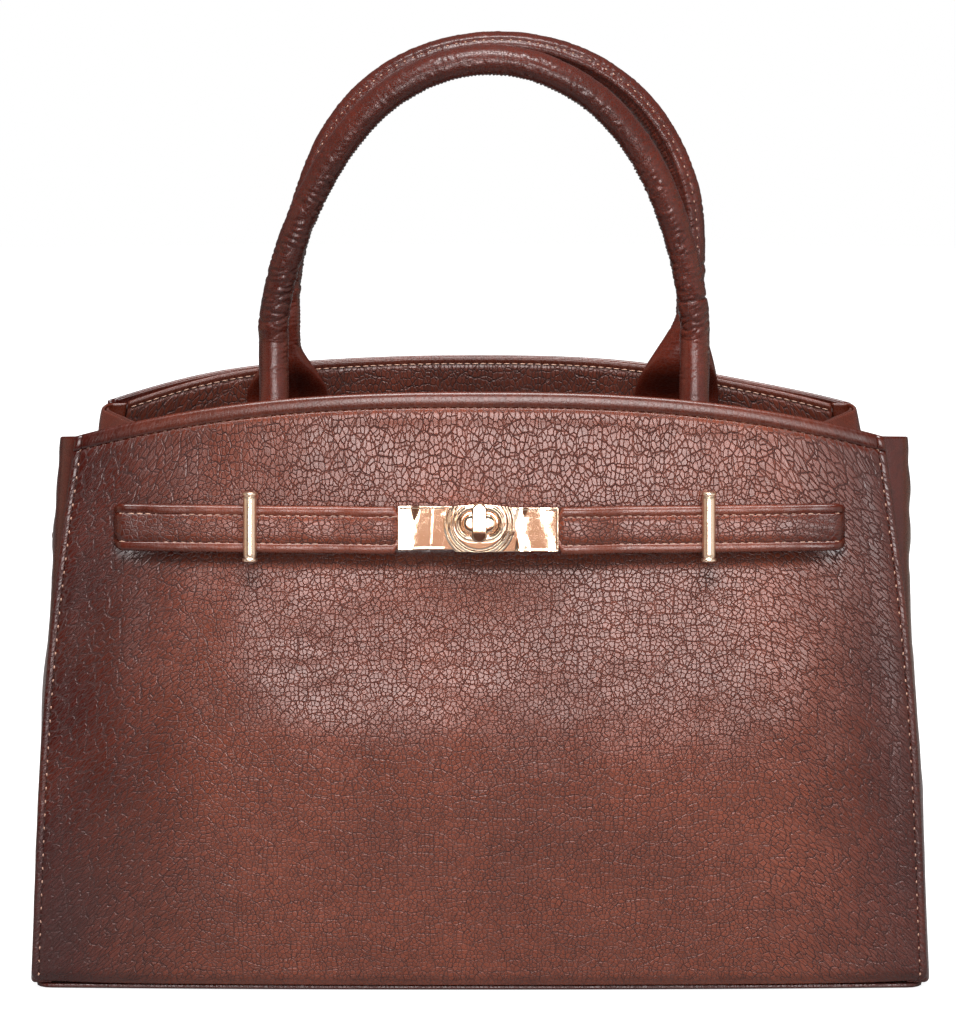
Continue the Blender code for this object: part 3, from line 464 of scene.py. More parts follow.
strap = {
    "tall": 0.0174, "level": 0.1764, "thick": 0.0024, "lift": 0.0014,
    "slitX": 0.1350, "corner": 0.0030, "rowInset": 0.0035,
    "leftEnd": 0.0301, "rightEnd": 0.0292, "leftLevel": 0.0029, "rightLevel": 0.0044,
    "raised": 0.0050, "landing": 0.0250, "inPlate": 0.0020, "plateInset": 0.0024, "dive": 0.0034,
    "groove": 0.00045, "edgeSwell": 0.00015, "padding": 0.00035, "creases": 0.00022, "soft": 0.00010,
}
strapFoot = strap["level"] - strap["tall"] / 2


# How far the leather stands off the plain surface, from its distances to rim, side edge and bottom
def faceRelief(side, x, z, rim, edge, low):
    band, seam = face["rimBand"], face["seam"]
    rolledOver = face["rimBead"] * np.sqrt(clamp(1 - ((rim - band / 2) / (band / 2)) ** 2))
    out = rolledOver - face["rimGroove"] * hump(rim, band + 0.0003, 0.00045)
    out += 0.00025 * hump(rim, band + 0.0035, 0.0022)
    out -= face["seamGroove"] * hump(edge, seam, 0.00045)
    out += 0.00022 * hump(edge, seam * 0.45, 0.0008) + 0.0001 * hump(edge, 0.0068, 0.0028)
    out -= face["bottomCurl"] * (1 - smooth(low, 0.0, 0.0065)) ** 2
    held = 1 - hump(z, face["heldLevel"], face["heldSpread"])
    away = smooth(edge, 0.0, 0.03) * smooth(low, 0.0, 0.02) * smooth(rim, 0.0, 0.02)
    swell = face["belly"] * hump(z, face["bellyHeight"], face["bellySpread"])
    swell = swell * (1 - (x / halfWidth(z)) ** 2)
    soft = face["soft"] * ripples(x, z, face["softSize"], 11 + side)
    soft = soft + face["softer"] * ripples(x, z, face["softerSize"], 17 + side)
    if side == front:
        dx = (x - face["dentX"]) / face["dentWide"]
        dz = (z - face["dentZ"]) / face["dentTall"]
        radius = np.sqrt(dx * dx + dz * dz)
        swell = swell - face["dent"] * np.exp(-radius ** 2) + face["dentRim"] * hump(radius, 1.6, 0.45)
        turn = np.arctan2(dz, dx)
        spokes = np.sin(turn * 7 + 2.2 * np.sin(turn * 2)) * hump(radius, 1.0, 0.55)
        swell = swell + face["dentCreases"] * spokes
        pressed = smooth(z, strapFoot - face["pressTall"], strapFoot + 0.0004)
        pressed = pressed * (1 - smooth(z, strapFoot + 0.004, strapFoot + 0.014))
        underStrap = 1 - smooth(np.abs(x), strap["slitX"] - 0.020, strap["slitX"] + 0.002)
        out -= face["press"] * pressed * underStrap
    return out + held * away * (swell + soft)


def makeFace(name, side):
    halfSpan = bag["baseWidth"] / 2
    lines = tightLines(2 * halfSpan, face["step"], edgeSteps)
    across = (lines / halfSpan - 1)[None, :]
    rimLine = rimHeight(across * bag["topWidth"] / 2, side)
    bottomLine = bag["panel"] + bag["seat"] + 0.0012 * np.abs(across) ** 10
    tall = bag["cornerHeight"] + bag["rimRise"] - bag["panel"]
    rows = tightLines(tall, face["step"], edgeSteps, rimSteps)[:, None]
    nearTop = len(rows) - len(rimSteps)
    share = clamp((rows - edgeSteps[-1]) / (tall - rimSteps[-1] - edgeSteps[-1]))
    z = mix(bottomLine + edgeSteps[-1], rimLine - rimSteps[-1], share)
    z = np.where(rows < edgeSteps[-1], bottomLine + rows, z)
    z = np.where(np.arange(len(rows))[:, None] > nearTop, rimLine - (tall - rows), z)
    low, rim = z - bottomLine, rimLine - z
    radius = face["cornerRadius"]
    cut = radius * (1 - np.sqrt(clamp(1 - (1 - clamp(low / radius)) ** 2)))
    x = across * (halfWidth(z) - cut)
    edge = halfWidth(z) - cut - np.abs(x)
    out = faceRelief(side, x, z, rim, edge, low)
    half = bag["panel"] / 2
    middle = facePoints(side, x, z, out - half)
    band, seam = face["rimBand"], face["seam"]
    # Painted shadow: a dark line on the face just below the strap, put into the shade attribute; the grain is
    # calmed there too
    under = 0 * x
    if side == front:
        under = hump(z, strapFoot - 0.0002, 0.0014)
        under = under * (1 - smooth(np.abs(x), strap["slitX"], strap["slitX"] + 0.002))
    calm = clamp(0.9 * (1 - smooth(rim, band, band + 0.003)) + 0.3 * (1 - smooth(edge, seam, seam + 0.004))
                 + 0.5 * (1 - smooth(low, 0.001, 0.004)))
    calm = clamp(calm + 0.8 * under)
    # Painted shade: darker toward both side edges, more on the left, a little uneven, and along the rim band
    leftShade, rightShade = [face["edgeShade"][hand] * (1 - smooth(edge, 0.002, face["sideShadeReach"][hand]))
                           for hand in (left, right)]
    toSide = np.where(x < 0, leftShade, rightShade)
    edgeShade = clamp(toSide + 0.12 * ripples(x, z, 0.05, 23) * toSide)
    edgeShade = np.maximum(edgeShade, face["rimShade"] * (1 - smooth(rim, band - 0.001, band + 0.0004)))
    return closedSheet(name, middle, half, ((rim, half), (low, half), (edge, half)), (0, side, 0),
                       faceGrain(x, z), calm, leather, dusk=clamp(edgeShade + 1.3 * under))


faces = {word: makeFace(word + "Face", side) for word, side in faceSides.items()}
print("faces made")


# Gussets: the sides, rolled out beside the seams and folded in at the mouth

gusset = {
    "sheet": 0.0014, "flange": 0.0080, "seamInset": 0.0012,
    "roll": {left: 0.0074, right: 0.0114}, "backRoll": 0.0020, "rollShare": 0.45, "rollStart": 0.62,
    "rollAtBase": 0.2, "rollGrowth": 1.3, "rollShape": 0.6,
    "belly": {left: 0.0030, right: 0.0012}, "bellyShape": 1.5,
    "tuckDepth": 0.026, "tuckStart": 0.82, "tuckShare": 0.85, "tuckSoftness": 0.06, "tuckFade": 3.0,
    "dip": 0.004, "step": 0.0016,
    "soft": 0.0007, "softSize": 0.06, "softer": 0.00025, "softerSize": 0.02,
    "fold": 0.0006, "foldSize": 0.013,
    "facing": 0.0014, "facingHeight": 0.0255, "facingSpan": 0.88, "facingFoot": 0.875,
}


def gussetHalfDepth(z):
    return edgeDepth(z) - bag["panel"] - bag["seat"] - gusset["sheet"] / 2


def gussetRim(v):
    return bag["cornerHeight"] - gusset["dip"] * (1 - v * v)


def tuckDepth(v, z):
    share, start = gusset["tuckShare"], gusset["tuckStart"]
    opened = share * clamp((z / bag["cornerHeight"] - start) / (1 - start))
    inward = opened - np.abs(v)
    soft = (inward + np.sqrt(inward * inward + gusset["tuckSoftness"] ** 2)) / 2
    return gusset["tuckDepth"] * soft / share * clamp(opened / share * gusset["tuckFade"])


def gussetReach(hand, v, z):
    height = clamp(z / bag["cornerHeight"])
    rise = clamp((height - gusset["rollStart"]) / (1 - gusset["rollStart"])) ** gusset["rollGrowth"]
    along = clamp((1 - np.abs(v)) / gusset["rollShare"])
    size = np.where(v < 0, gusset["roll"][hand], gusset["backRoll"])
    roll = size * mix(gusset["rollAtBase"], 1.0, rise)
    roll = roll * np.sin(math.pi * along ** gusset["rollShape"])
    belly = gusset["belly"][hand] * np.sin(math.pi * height ** gusset["bellyShape"]) * (1 - v * v)
    return halfWidth(z) - gusset["seamInset"] + roll + belly - tuckDepth(v, z)


# Points on a gusset, moved inward along the plan normal
def gussetPoints(hand, v, z, inward):
    depth = gussetHalfDepth(z)
    low, high = np.maximum(v - 0.01, -1.0), np.minimum(v + 0.01, 1.0)
    alongX = gussetReach(hand, high, z) - gussetReach(hand, low, z)
    alongY = (high - low) * depth
    length = np.sqrt(alongX ** 2 + alongY ** 2)
    x = gussetReach(hand, v, z) - inward * alongY / length
    y = v * depth + inward * alongX / length
    return np.stack([hand * x, y, z], axis=-1)


# Rows of points up a gusset from the lowest level, and their distances from its rim and its foot
def gussetGrid(hand, columns, lowest, rimLines, inward):
    rim = gussetRim(columns)[None, :]
    rows = rimLines[:, None]
    z = mix(lowest, rim, rows)
    return gussetPoints(hand, columns[None, :] + 0 * rows, z, inward), rim - z, z - lowest


# A gusset with its two flanges behind the faces
def makeGusset(name, hand):
    span = 2 * gussetHalfDepth(0.1)
    seamLines = np.array([0, 0.0008, 0.0016, 0.0026, 0.0038, 0.0052])
    v = tightLines(span, gusset["step"], seamLines) / span * 2 - 1
    tall = bag["cornerHeight"] - bag["panel"]
    rows = tightLines(tall, gusset["step"], edgeSteps[:8]) / tall
    middle, rim, low = gussetGrid(hand, v, bag["panel"] + bag["seat"], rows, 0.0)
    y, z = middle[..., 1], middle[..., 2]
    soft = gusset["soft"] * ripples(y, z, gusset["softSize"], 31 + hand)
    soft = soft + gusset["softer"] * ripples(y, z, gusset["softerSize"], 37 + hand)
    free = smooth(1 - np.abs(v)[None, :], 0.02, 0.2) * smooth(low, 0.0, 0.02)
    middle[..., 0] += hand * soft * free
    fold = gusset["fold"] * hump(np.abs(v)[None, :], 0.86, 0.05) * smooth(z, 0.12, 0.2)
    middle[..., 0] += hand * fold * ripples(z, z * 0.3, gusset["foldSize"], 41)
    behind = -(bag["panel"] + bag["seat"] + gusset["sheet"] / 2)
    shares = np.array([1.0, 0.96, 0.85, 0.6, 0.3, 0.0])
    flanges = []
    for end in (front, back):
        columnZ = z[:, 0 if end == front else -1]
        corner = gussetReach(hand, np.ones_like(columnZ), columnZ)
        x = corner[:, None] + (halfWidth(columnZ) - gusset["flange"] - corner)[:, None] * shares[None, :]
        grid = facePoints(end, hand * x, columnZ[:, None] + 0 * x, behind)
        flanges.append(grid if end == front else grid[:, ::-1])
    middle = np.concatenate([flanges[0], middle[:, 1:-1], flanges[1]], axis=1)
    rim, low = [np.concatenate([far[:, :1]] * 6 + [far[:, 1:-1]] + [far[:, -1:]] * 6, axis=1)
                for far in (rim, low)]
    half = gusset["sheet"] / 2
    run = np.cumsum(np.linalg.norm(np.diff(middle, axis=1, prepend=middle[:, :1]), axis=2), axis=1)
    middleColumn = run.shape[1] // 2
    uv = np.stack([run - run[:, middleColumn:middleColumn + 1], middle[..., 2] * 0.8], axis=-1)
    nearFront = 1 - smooth(middle[..., 1], -0.048, -0.03)
    calm = clamp(0.35 + 0.6 * (1 - smooth(rim, 0.003, 0.006)) + 0.5 * nearFront)
    # Painted shade: the gusset is darkened all over, most toward its front seams
    return closedSheet(name, middle, half, ((rim, half), (low, half)), (hand, 0, 0), uv, calm, leather,
                       dusk=0.55 + 0.35 * nearFront)


# Leather strip inside the top of a gusset, folded in with it
def makeSideFacing(name, hand):
    v = np.linspace(-1, 1, 90) * gusset["facingSpan"]
    lowest = bag["cornerHeight"] * gusset["facingFoot"]
    tall = bag["cornerHeight"] - lowest
    rows = tightLines(tall, 0.0012, edgeSteps[:6]) / tall
    half = gusset["facing"] / 2
    middle, rim, low = gussetGrid(hand, v, lowest, rows, gusset["sheet"] / 2 + bag["seat"] + half)
    sideways = (1 - np.abs(v)[None, :] / gusset["facingSpan"]) * 0.06
    calm = clamp(0.3 + 0.6 * (1 - smooth(rim, 0.002, 0.005)))
    return closedSheet(name, middle, half, ((rim, half), (low, half), (sideways, half)), (hand, 0, 0),
                       middle[..., 1:], calm, inside)


# Leather strip inside the top of a face, grained like the outside
def makeFaceFacing(name, side):
    across = np.concatenate([[-1, -0.9985, -0.995], np.linspace(-0.99, 0.99, 190), [0.995, 0.9985, 1]])
    across = across[None, :]
    rimLine = rimHeight(across * bag["topWidth"] / 2, side)
    tall = gusset["facingHeight"]
    rows = tightLines(tall, 0.0012, edgeSteps[:7], rimSteps[:11])[:, None]
    z = rimLine - tall + rows
    rim = rimLine - z
    x = across * (halfWidth(z) - gusset["flange"] - bag["seat"])
    half = gusset["facing"] / 2
    relief = 0.0003 * hump(rim, 0.0030, 0.0004) - 0.0002 * hump(rim, 0.0014, 0.0009)
    middle = facePoints(side, x, z, relief - (bag["panel"] + bag["seat"] + half))
    calm = clamp(0.85 * (1 - smooth(rim, 0.003, 0.0055)))
    return closedSheet(name, middle, half, ((rim, half), (rows, half), ((1 - np.abs(across)) * 0.145, half)),
                       (0, side, 0), faceGrain(x, z) + 0.5, calm, inside)


bagSides = {word: (makeGusset(word + "Side", hand), makeSideFacing(word + "SideFacing", hand))
            for word, hand in hands.items()}
faceFacings = {word: makeFaceFacing(word + "Facing", side) for word, side in faceSides.items()}
print("sides and facings made")


# Belt strap: padded, turned at its long edges, sewn in two rows, its ends let into slits

# Level of the strap's middle over the front face at a distance x from the bag's middle
def strapOut(hand, x):
    end = strap[handWord[hand] + "End"]
    plane = strap[handWord[hand] + "Level"] + faceDepth(0.0, strap["level"]) - faceDepth(x, strap["level"])
    resting = strap["lift"] + strap["thick"] / 2
    level = mix(plane, resting, smooth(x, end + strap["raised"], end + strap["landing"]))
    return level - strap["dive"] * smooth(x, strap["slitX"] - 0.0022, strap["slitX"] + 0.0012)


# Half of the strap, from inside its lock plate to just inside its slit
def makeStrap(name, hand):
    start = strap[handWord[hand] + "End"] - strap["inPlate"]
    stop = strap["slitX"] + 0.0009
    run = start + tightLines(stop - start, 0.0011, np.array([0, 0.0002, 0.0006, 0.0012]),
                             np.array([0, 0.0002, 0.0006, 0.0011, 0.0017, 0.0024, 0.0032, 0.0045]))
    rows = tightLines(strap["tall"], 0.0008, np.array([0, 0.0001, 0.0004, 0.0009, 0.0015, 0.0021, 0.0027,
                                                       0.0031, 0.0035, 0.0039, 0.0043]))[:, None]
    x = run[None, :] + 0 * rows
    corner, inset, mouth = strap["corner"], strap["rowInset"], start + strap["inPlate"]
    fromEnd = clamp((x - (strap["slitX"] + 0.0007 - corner)) / corner)
    narrowing = corner * (1 - np.sqrt(clamp(1 - fromEnd ** 2))) * 0.8
    shoulder = strap["plateInset"] * (1 - smooth(x, mouth + 0.0002, mouth + 0.0012))
    halfTall = strap["tall"] / 2 - narrowing - shoulder
    across = rows / strap["tall"] * 2 - 1
    z = strap["level"] + across * halfTall
    edge = halfTall * (1 - np.abs(across))
    closeness = smooth(x, 0.112, 0.132)
    relief = strap["edgeSwell"] * hump(edge, inset / 2, 0.0010) - strap["groove"] * hump(edge, inset, 0.00042)
    relief = relief + strap["padding"] * smooth(edge, inset + 0.0004, inset + 0.003)
    creases = closeness * ripples(x * 0.35 + edge * 0.1, z * 1.6, 0.006, 53 + hand)
    relief = relief + strap["creases"] * creases + strap["soft"] * ripples(x, z, 0.011, 57 + hand)
    half = strap["thick"] / 2 * mix(0.45, 1.0, smooth(x, mouth - 0.0005, mouth + 0.0014))
    middle = facePoints(front, hand * x, z, strapOut(hand, x) + relief)
    uv = np.stack([hand * x * 0.85, z * 1.1], axis=-1) + 0.8
    calm = clamp(0.85 * (1 - smooth(edge, inset, inset + 0.001)) + 0.35 * closeness)
    # Painted shade: the strap darkens toward its slits, where it turns into them
    return closedSheet(name, middle, half, ((edge, half), (x - start, half), (stop - x, half * 0.5)),
                       (0, front, 0), uv, calm, leather, dusk=clamp(0.8 * smooth(x, 0.09, 0.135)))


straps = {word: makeStrap(word + "Strap", hand) for word, hand in hands.items()}
print("straps made")


# Base and lining

base = {
    "recess": 0.0015, "thick": 0.0018, "board": 0.0025, "corner": 0.006, "lift": 0.0002,
    "lining": 0.0006, "slack": 0.0012,
}


# Leather bottom with rounded edges, seen as a thin line below the front, painted dark all over as shade
def makeBase():
    half = base["thick"] / 2
    shares = np.concatenate([[0, 0.002, 0.006, 0.012], np.linspace(0.02, 0.98, 90), [0.988, 0.994, 0.998, 1]])
    reachX = bag["baseWidth"] / 2 - base["recess"]
    x = ((shares * 2 - 1) * reachX)[None, :]
    depth = faceDepth(x, 0.0) - base["recess"]
    y = (shares * 2 - 1)[:, None] * depth
    x = x + 0 * y
    edgeY, edgeX = depth - np.abs(y), reachX - np.abs(x)
    overX = clamp(1 - edgeX / base["corner"])
    y = y * (1 - (1 - np.sqrt(1 - overX ** 2)) * base["corner"] / depth)
    middle = np.stack([x, y, half + base["lift"] + 0 * x], axis=-1)
    return closedSheet("basePanel", middle, half, ((edgeX, half), (edgeY, half)), (0, 0, -1), middle[..., :2],
                       0.4 + 0 * x, leather, dusk=0.9 + 0 * x)


# Closed plan loop of the pouch at one share of its height
def liningRing(level, inset, steps=60):
    lowest = bag["panel"] + bag["seat"]
    floor = lowest + bag["seat"] + base["board"] + inset
    near = lowest + bag["seat"] + gusset["facing"] + inset
    sideNear = gusset["sheet"] / 2 + 2 * bag["seat"] + gusset["facing"] + inset
    loop = []
    for side, hand in ((front, right), (back, left)):
        across = -side * np.linspace(-1, 1, steps)
        z = np.maximum(floor, mix(lowest, rimHeight(across * bag["topWidth"] / 2, side), level))
        loop.append(facePoints(side, across * (halfWidth(z) - gusset["flange"]), z, -near))
        v = -side * np.linspace(-1, 1, steps // 2) * gusset["facingSpan"]
        loop.append(gussetPoints(hand, v, np.maximum(floor, mix(lowest, gussetRim(v), level)), sideNear))
    return np.concatenate(loop)


# Cotton pouch, slightly slack between its seams, its top edge under the facings
def makeLining():
    levels = np.concatenate([[0.0, 0.01, 0.03, 0.06], np.linspace(0.1, gusset["facingFoot"], 40)])
    skins = []
    for inset in (0.0, base["lining"]):
        skin = []
        for level in levels:
            ring = liningRing(level, inset)
            uneven = 1 + ripples(ring[:, 0], ring[:, 2], 0.05, 61)
            slack = base["slack"] * math.sin(math.pi * level) * uneven
            plan = ring[:, :2]
            plan -= plan / (np.linalg.norm(plan, axis=1, keepdims=True) + 1e-9) * slack[:, None]
            skin.append(np.concatenate([ring, ring[:1]]))
        skins.append(np.array(skin))
    whole = np.concatenate([skins[0], skins[1][::-1]])
    run = np.cumsum(np.linalg.norm(np.diff(whole, axis=1, prepend=whole[:, :1]), axis=2), axis=1)
    return closedTube("liningPouch", whole, lining, np.stack([run, whole[..., 2]], axis=-1))


basePanel = makeBase()
pouch = makeLining()
print("base and lining made")


# Rolled handles: leather drawn round a rope, lapped and sewn on the side that faces the other handle,
# and opened flat below the rim into the tabs that are sewn inside the bag

handle = {
    "height": 0.104, "straight": 0.004, "radius": 0.0055, "pivotZ": 0.246, "pivotY": 0.052, "blend": 0.007,
    "tabBottom": 0.2050, "tabThick": 0.0015,
    "lap": 0.0007, "lapEdge": math.radians(-14), "stitchAt": math.radians(24),
    "seamDip": 0.00035, "puff": 0.00025, "lapPuff": 0.00018,
    "gather": 0.0006, "gatherPitch": 0.0015, "wrinkle": 0.00052, "wrinklePitch": 0.0024,
    "around": 72, "step": 0.00048,
}
arches = {
    # half span at the bends, how full the shoulders are, then how far each stands and hangs off the middle
    "front": {"half": 0.0783, "full": -0.060, "pinch": 0.0024, "offset": 0.0018, "sway": 0.0020,
              "swayBy": 0.8, "lift": -0.0002, "lean": math.radians(9.0)},
    "back": {"half": 0.0812, "full": 0.16, "pinch": 0.0, "offset": 0.0036, "sway": 0.0040,
             "swayBy": 0.5, "lift": 0.0026, "lean": 0.0},
}
legs = {
    # how far each tab opens toward the middle and outward, where it starts, and its deepest crease
    ("front", left): {"inner": 0.0125, "outer": 0.0125, "from": 0.222, "crease": 0.2545, "depth": 0.00045},
    ("front", right): {"inner": 0.0125, "outer": 0.0125, "from": 0.222, "crease": 0.2606, "depth": 0.0008},
    ("back", left): {"inner": 0.0160, "outer": 0.0170, "from": 0.233, "crease": 0.2560, "depth": 0.0004},
    ("back", right): {"inner": 0.0215, "outer": 0.0125, "from": 0.246, "crease": 0.2660, "depth": 0.0004},
}


# Half thickness of a leg: round above the rim, opened flat below it
def legThickness(z, rim):
    share = smooth(z, handle["tabBottom"] + 0.004, rim + 0.006)
    return mix(handle["tabThick"], handle["radius"], share)


# Points along the middle of a handle from its left tab to its right, with outward and seam directions
def handleLine(word, side):
    arch = arches[word]
    rise = handle["height"] - handle["straight"] + arch["lift"]
    angles = np.linspace(math.pi, 0, 2000)
    lifted = np.sin(angles)
    reach = arch["half"] * np.cos(angles) * (1 + arch["full"] * lifted ** 2)
    reach = reach - arch["pinch"] * np.sign(reach) * np.sin(math.pi * clamp(lifted / 0.85))
    up = handle["straight"] + rise * lifted
    lean = side * arch["lean"]
    hang = arch["offset"] + arch["sway"] * smooth(lifted, 0.0, arch["swayBy"])
    arc = np.stack([hang + reach, side * handle["pivotY"] + up * math.sin(lean),
                    handle["pivotZ"] + up * math.cos(lean)], axis=-1)
    z = mix(handle["tabBottom"], handle["pivotZ"], np.linspace(0, 1, 400)[:-1])
    behind = bag["panel"] + 2 * bag["seat"] + gusset["facing"]
    lines = []
    for hand in (left, right):
        x = arch["offset"] + hand * arch["half"]
        rim = float(rimHeight(x))
        seat = faceDepth(x, np.minimum(z, rim)) - behind - legThickness(z, rim)
        y = mix(seat, handle["pivotY"], smooth(z, rim - 0.004, handle["pivotZ"]))
        lines.append(np.stack([x + 0 * z, side * y, z], axis=-1))
    line = np.concatenate([lines[0], arc, lines[1][::-1]])
    length = runAlong(line)[-1]
    even = np.linspace(0, length, int(length / handle["step"]))
    line = pointsAt(line, even)
    along = np.gradient(line, axis=0)
    along[:, 0] = np.convolve(np.pad(along[:, 0], 6, mode="edge"), np.ones(13) / 13, mode="valid")
    along = unit(along)
    seam = np.tile([0.0, -side, 0.0], (len(line), 1))
    seam = unit(seam - along * np.sum(seam * along, axis=1, keepdims=True))
    return line, np.cross(along, seam) * -side, seam, even


# Crescent wrinkles round a handle, each short and broken: valleys of a noise that is drawn out round it
def wrinkleDepths(run, phi):
    creases, patches = np.zeros((2, len(run), len(phi)))
    for i, along in enumerate(run):
        for j, angle in enumerate(phi[:-1]):
            across, facing = math.cos(angle), math.sin(angle)
            slant = along / handle["wrinklePitch"] + 0.5 * facing
            creases[i, j] = noise.noise(Vector((slant, across * 1.1, facing * 1.1)))
            patches[i, j] = noise.noise(Vector((along * 130, across * 0.9 + 7, facing * 0.9)))
    creases[:, -1], patches[:, -1] = creases[:, 0], patches[:, 0]
    return -np.sqrt(clamp(0.30 - np.abs(creases)) / 0.30) * clamp(0.75 + 1.2 * patches)


# One sheet from tab to tab: round over the rope, with its lap, seam and gathers, and flat at both ends
def makeHandle(word, side):
    line, out, seam, run = handleLine(word, side)
    phi = np.linspace(0, 2 * math.pi, handle["around"] + 1)[None, :] + handle["lapEdge"]
    spread = (phi + math.pi) % (2 * math.pi) - math.pi
    z = line[:, 2:3]
    rim = float(rimHeight(arches[word]["half"]))
    tube = smooth(z, rim + 0.002, rim + 0.012)
    cosine, sine = np.cos(phi), np.sin(phi)

    # Each leg opens into its tab, and has one deep crease at the bend
    wide, creases = np.zeros_like(z + phi), 0.0
    for hand, mask in ((left, line[:, 0:1] < 0), (right, line[:, 0:1] >= 0)):
        leg = legs[(word, hand)]
        opened = (1 - smooth(z, handle["tabBottom"] + 0.006, leg["from"])) ** 0.8
        inner, outer = [mix(handle["radius"], leg[label], opened) for label in ("inner", "outer")]
        wide = np.where(mask, np.where(sine < 0, inner, outer), wide)
        tilt = 0.0022 * np.sin(spread - 0.6) if hand == left else 0.0004 * np.sin(spread + 1.2)
        notch = -leg["depth"] * hump(z + tilt, leg["crease"], 0.00050)
        swellBelow = 0.00030 * hump(z + tilt, leg["crease"] - 0.0030, 0.0026)
        creases = creases + np.where(mask, notch + swellBelow, 0.0)

    # The lap: the outer end of the leather lies over the other, thick from its cut edge outward
    lapEdge, stitchAt = handle["lapEdge"], handle["stitchAt"]
    lap = handle["lap"] * smooth(spread, lapEdge - 0.03, lapEdge + 0.05) * (1 - smooth(spread, 0.9, 2.2))
    dipped = -handle["seamDip"] * hump(spread, stitchAt, 0.07)
    dipped = dipped + handle["puff"] * hump(spread, stitchAt + 0.28, 0.16)
    dipped = dipped + handle["lapPuff"] * hump(spread, (stitchAt + lapEdge) / 2, 0.15)

    # Gathers on the inside of the bend, and the wrinkles across the rest
    bend = clamp((z - 0.27) / 0.04)
    jitter = 0.9 * ripples(run[:, None], run[:, None] * 0.2, 0.013, 71)
    ruffle = np.sin(run[:, None] * 2 * math.pi / handle["gatherPitch"] + jitter + 0.9 * spread)
    gathers = handle["gather"] * hump(spread, -1.25, 0.75) * (0.35 + 0.65 * bend) * (0.5 * ruffle - 0.5)
    low = smooth(0.33 - z, 0.0, 0.06)
    quiet = 1 - 0.6 * smooth(0.252 - z, 0.0, 0.006)
    reachIn = 0.75 + 0.25 * hump(spread, -math.pi / 2 - 0.4, 1.5)
    wrinkles = handle["wrinkle"] * wrinkleDepths(run, phi[0]) * reachIn * (0.55 + 0.45 * low) * quiet

    detail = (lap + dipped) * (0.15 + 0.85 * tube) + (gathers + wrinkles + creases) * tube
    reachSeam = legThickness(z, rim) + detail
    reachOut = wide + detail * (wide < handle["radius"] * 1.5)
    offset = seam[:, None, :] * (cosine * reachSeam)[..., None]
    offset = offset + out[:, None, :] * (sine * reachOut)[..., None]

    # Each tab ends in a rounded edge
    fromEnd = np.minimum(run, run[-1] - run)[:, None, None]
    rings = line[:, None, :] + offset * (edgeRound(fromEnd, 0.0014) * 0.98 + 0.02)
    rings[:, -1] = rings[:, 0]
    uv = np.stack([(phi + 0 * z) * handle["radius"], run[:, None] + 0 * phi], axis=-1)
    calm = clamp(0.2 + 0.5 * smooth(0.256 - z, 0.0, 0.006) + 0 * phi)
    return closedTube(word + "Handle", rings, rolled, uv, calm)


handles = {word: makeHandle(word, side) for word, side in faceSides.items()}
print("handles made")


# Stitches: one tree lays a thread grain at each step along every line of a mesh of paths

stitching = {
    "sides": 6, "rings": 5, "seed": 4, "holeLength": 1.1, "holeWidth": 0.95,
    # each seam's pitch, stitch length, thread width and unevenness
    "side": (0.0050, 0.0013, 0.00075, 0.25), "rim": (0.0033, 0.0026, 0.00062, 0.1),
    "fine": (0.0032, 0.0025, 0.00060, 0.06), "handle": (0.0036, 0.0010, 0.00060, 0.1),
}


def stitchTree():
    tree = bpy.data.node_groups.new("threadStitches", "GeometryNodeTree")
    for label, kind in (("Paths", "Geometry"), ("Pitch", "Float"), ("Stitch Length", "Float"),
                        ("Thread Width", "Float"), ("Unevenness", "Float"), ("Thread", "Material")):
        tree.interface.new_socket(label, in_out="INPUT", socket_type="NodeSocket" + kind)
    tree.interface.new_socket("Stitches", in_out="OUTPUT", socket_type="NodeSocketGeometry")
    given = addNode(tree, "NodeGroupInput").outputs
    curve = addNode(tree, "GeometryNodeMeshToCurve", {"Mesh": given["Paths"]}).outputs["Curve"]
    stepped = addNode(tree, "GeometryNodeResampleCurve", {"Curve": curve, "Length": given["Pitch"]},
                      mode="LENGTH").outputs["Curve"]
    heading = addNode(tree, "GeometryNodeInputTangent").outputs["Tangent"]
    jitter = addNode(tree, "FunctionNodeRandomValue", {"Min": (-1.0,) * 3, "Max": (1.0,) * 3,
                     "Seed": stitching["seed"]}, data_type="FLOAT_VECTOR").outputs[0]
    pulled = addNode(tree, "ShaderNodeVectorMath", {0: jitter, 3: given["Unevenness"]}, operation="SCALE")
    steered = addNode(tree, "ShaderNodeVectorMath", {0: heading, 1: pulled.outputs[0]}, operation="ADD")
    turned = addNode(tree, "FunctionNodeAlignRotationToVector", {"Vector": steered.outputs[0]}, axis="Z")
    bead = addNode(tree, "GeometryNodeMeshUVSphere", {"Segments": stitching["sides"],
                                                      "Rings": stitching["rings"], "Radius": 0.5})
    size = addNode(tree, "ShaderNodeCombineXYZ", {"X": given["Thread Width"], "Y": given["Thread Width"],
                                                  "Z": given["Stitch Length"]})
    placed = addNode(tree, "GeometryNodeInstanceOnPoints",
                     {"Points": stepped, "Instance": bead.outputs["Mesh"], "Rotation": turned.outputs[0],
                      "Scale": size.outputs[0]}).outputs["Instances"]
    real = addNode(tree, "GeometryNodeRealizeInstances", {"Geometry": placed}).outputs[0]
    smoothed = addNode(tree, "GeometryNodeSetShadeSmooth", {0: real}).outputs[0]
    finished = addNode(tree, "GeometryNodeSetMaterial", {"Geometry": smoothed, "Material": given["Thread"]})
    addNode(tree, "NodeGroupOutput", {"Stitches": finished.outputs[0]})
    return tree


stitches = stitchTree()


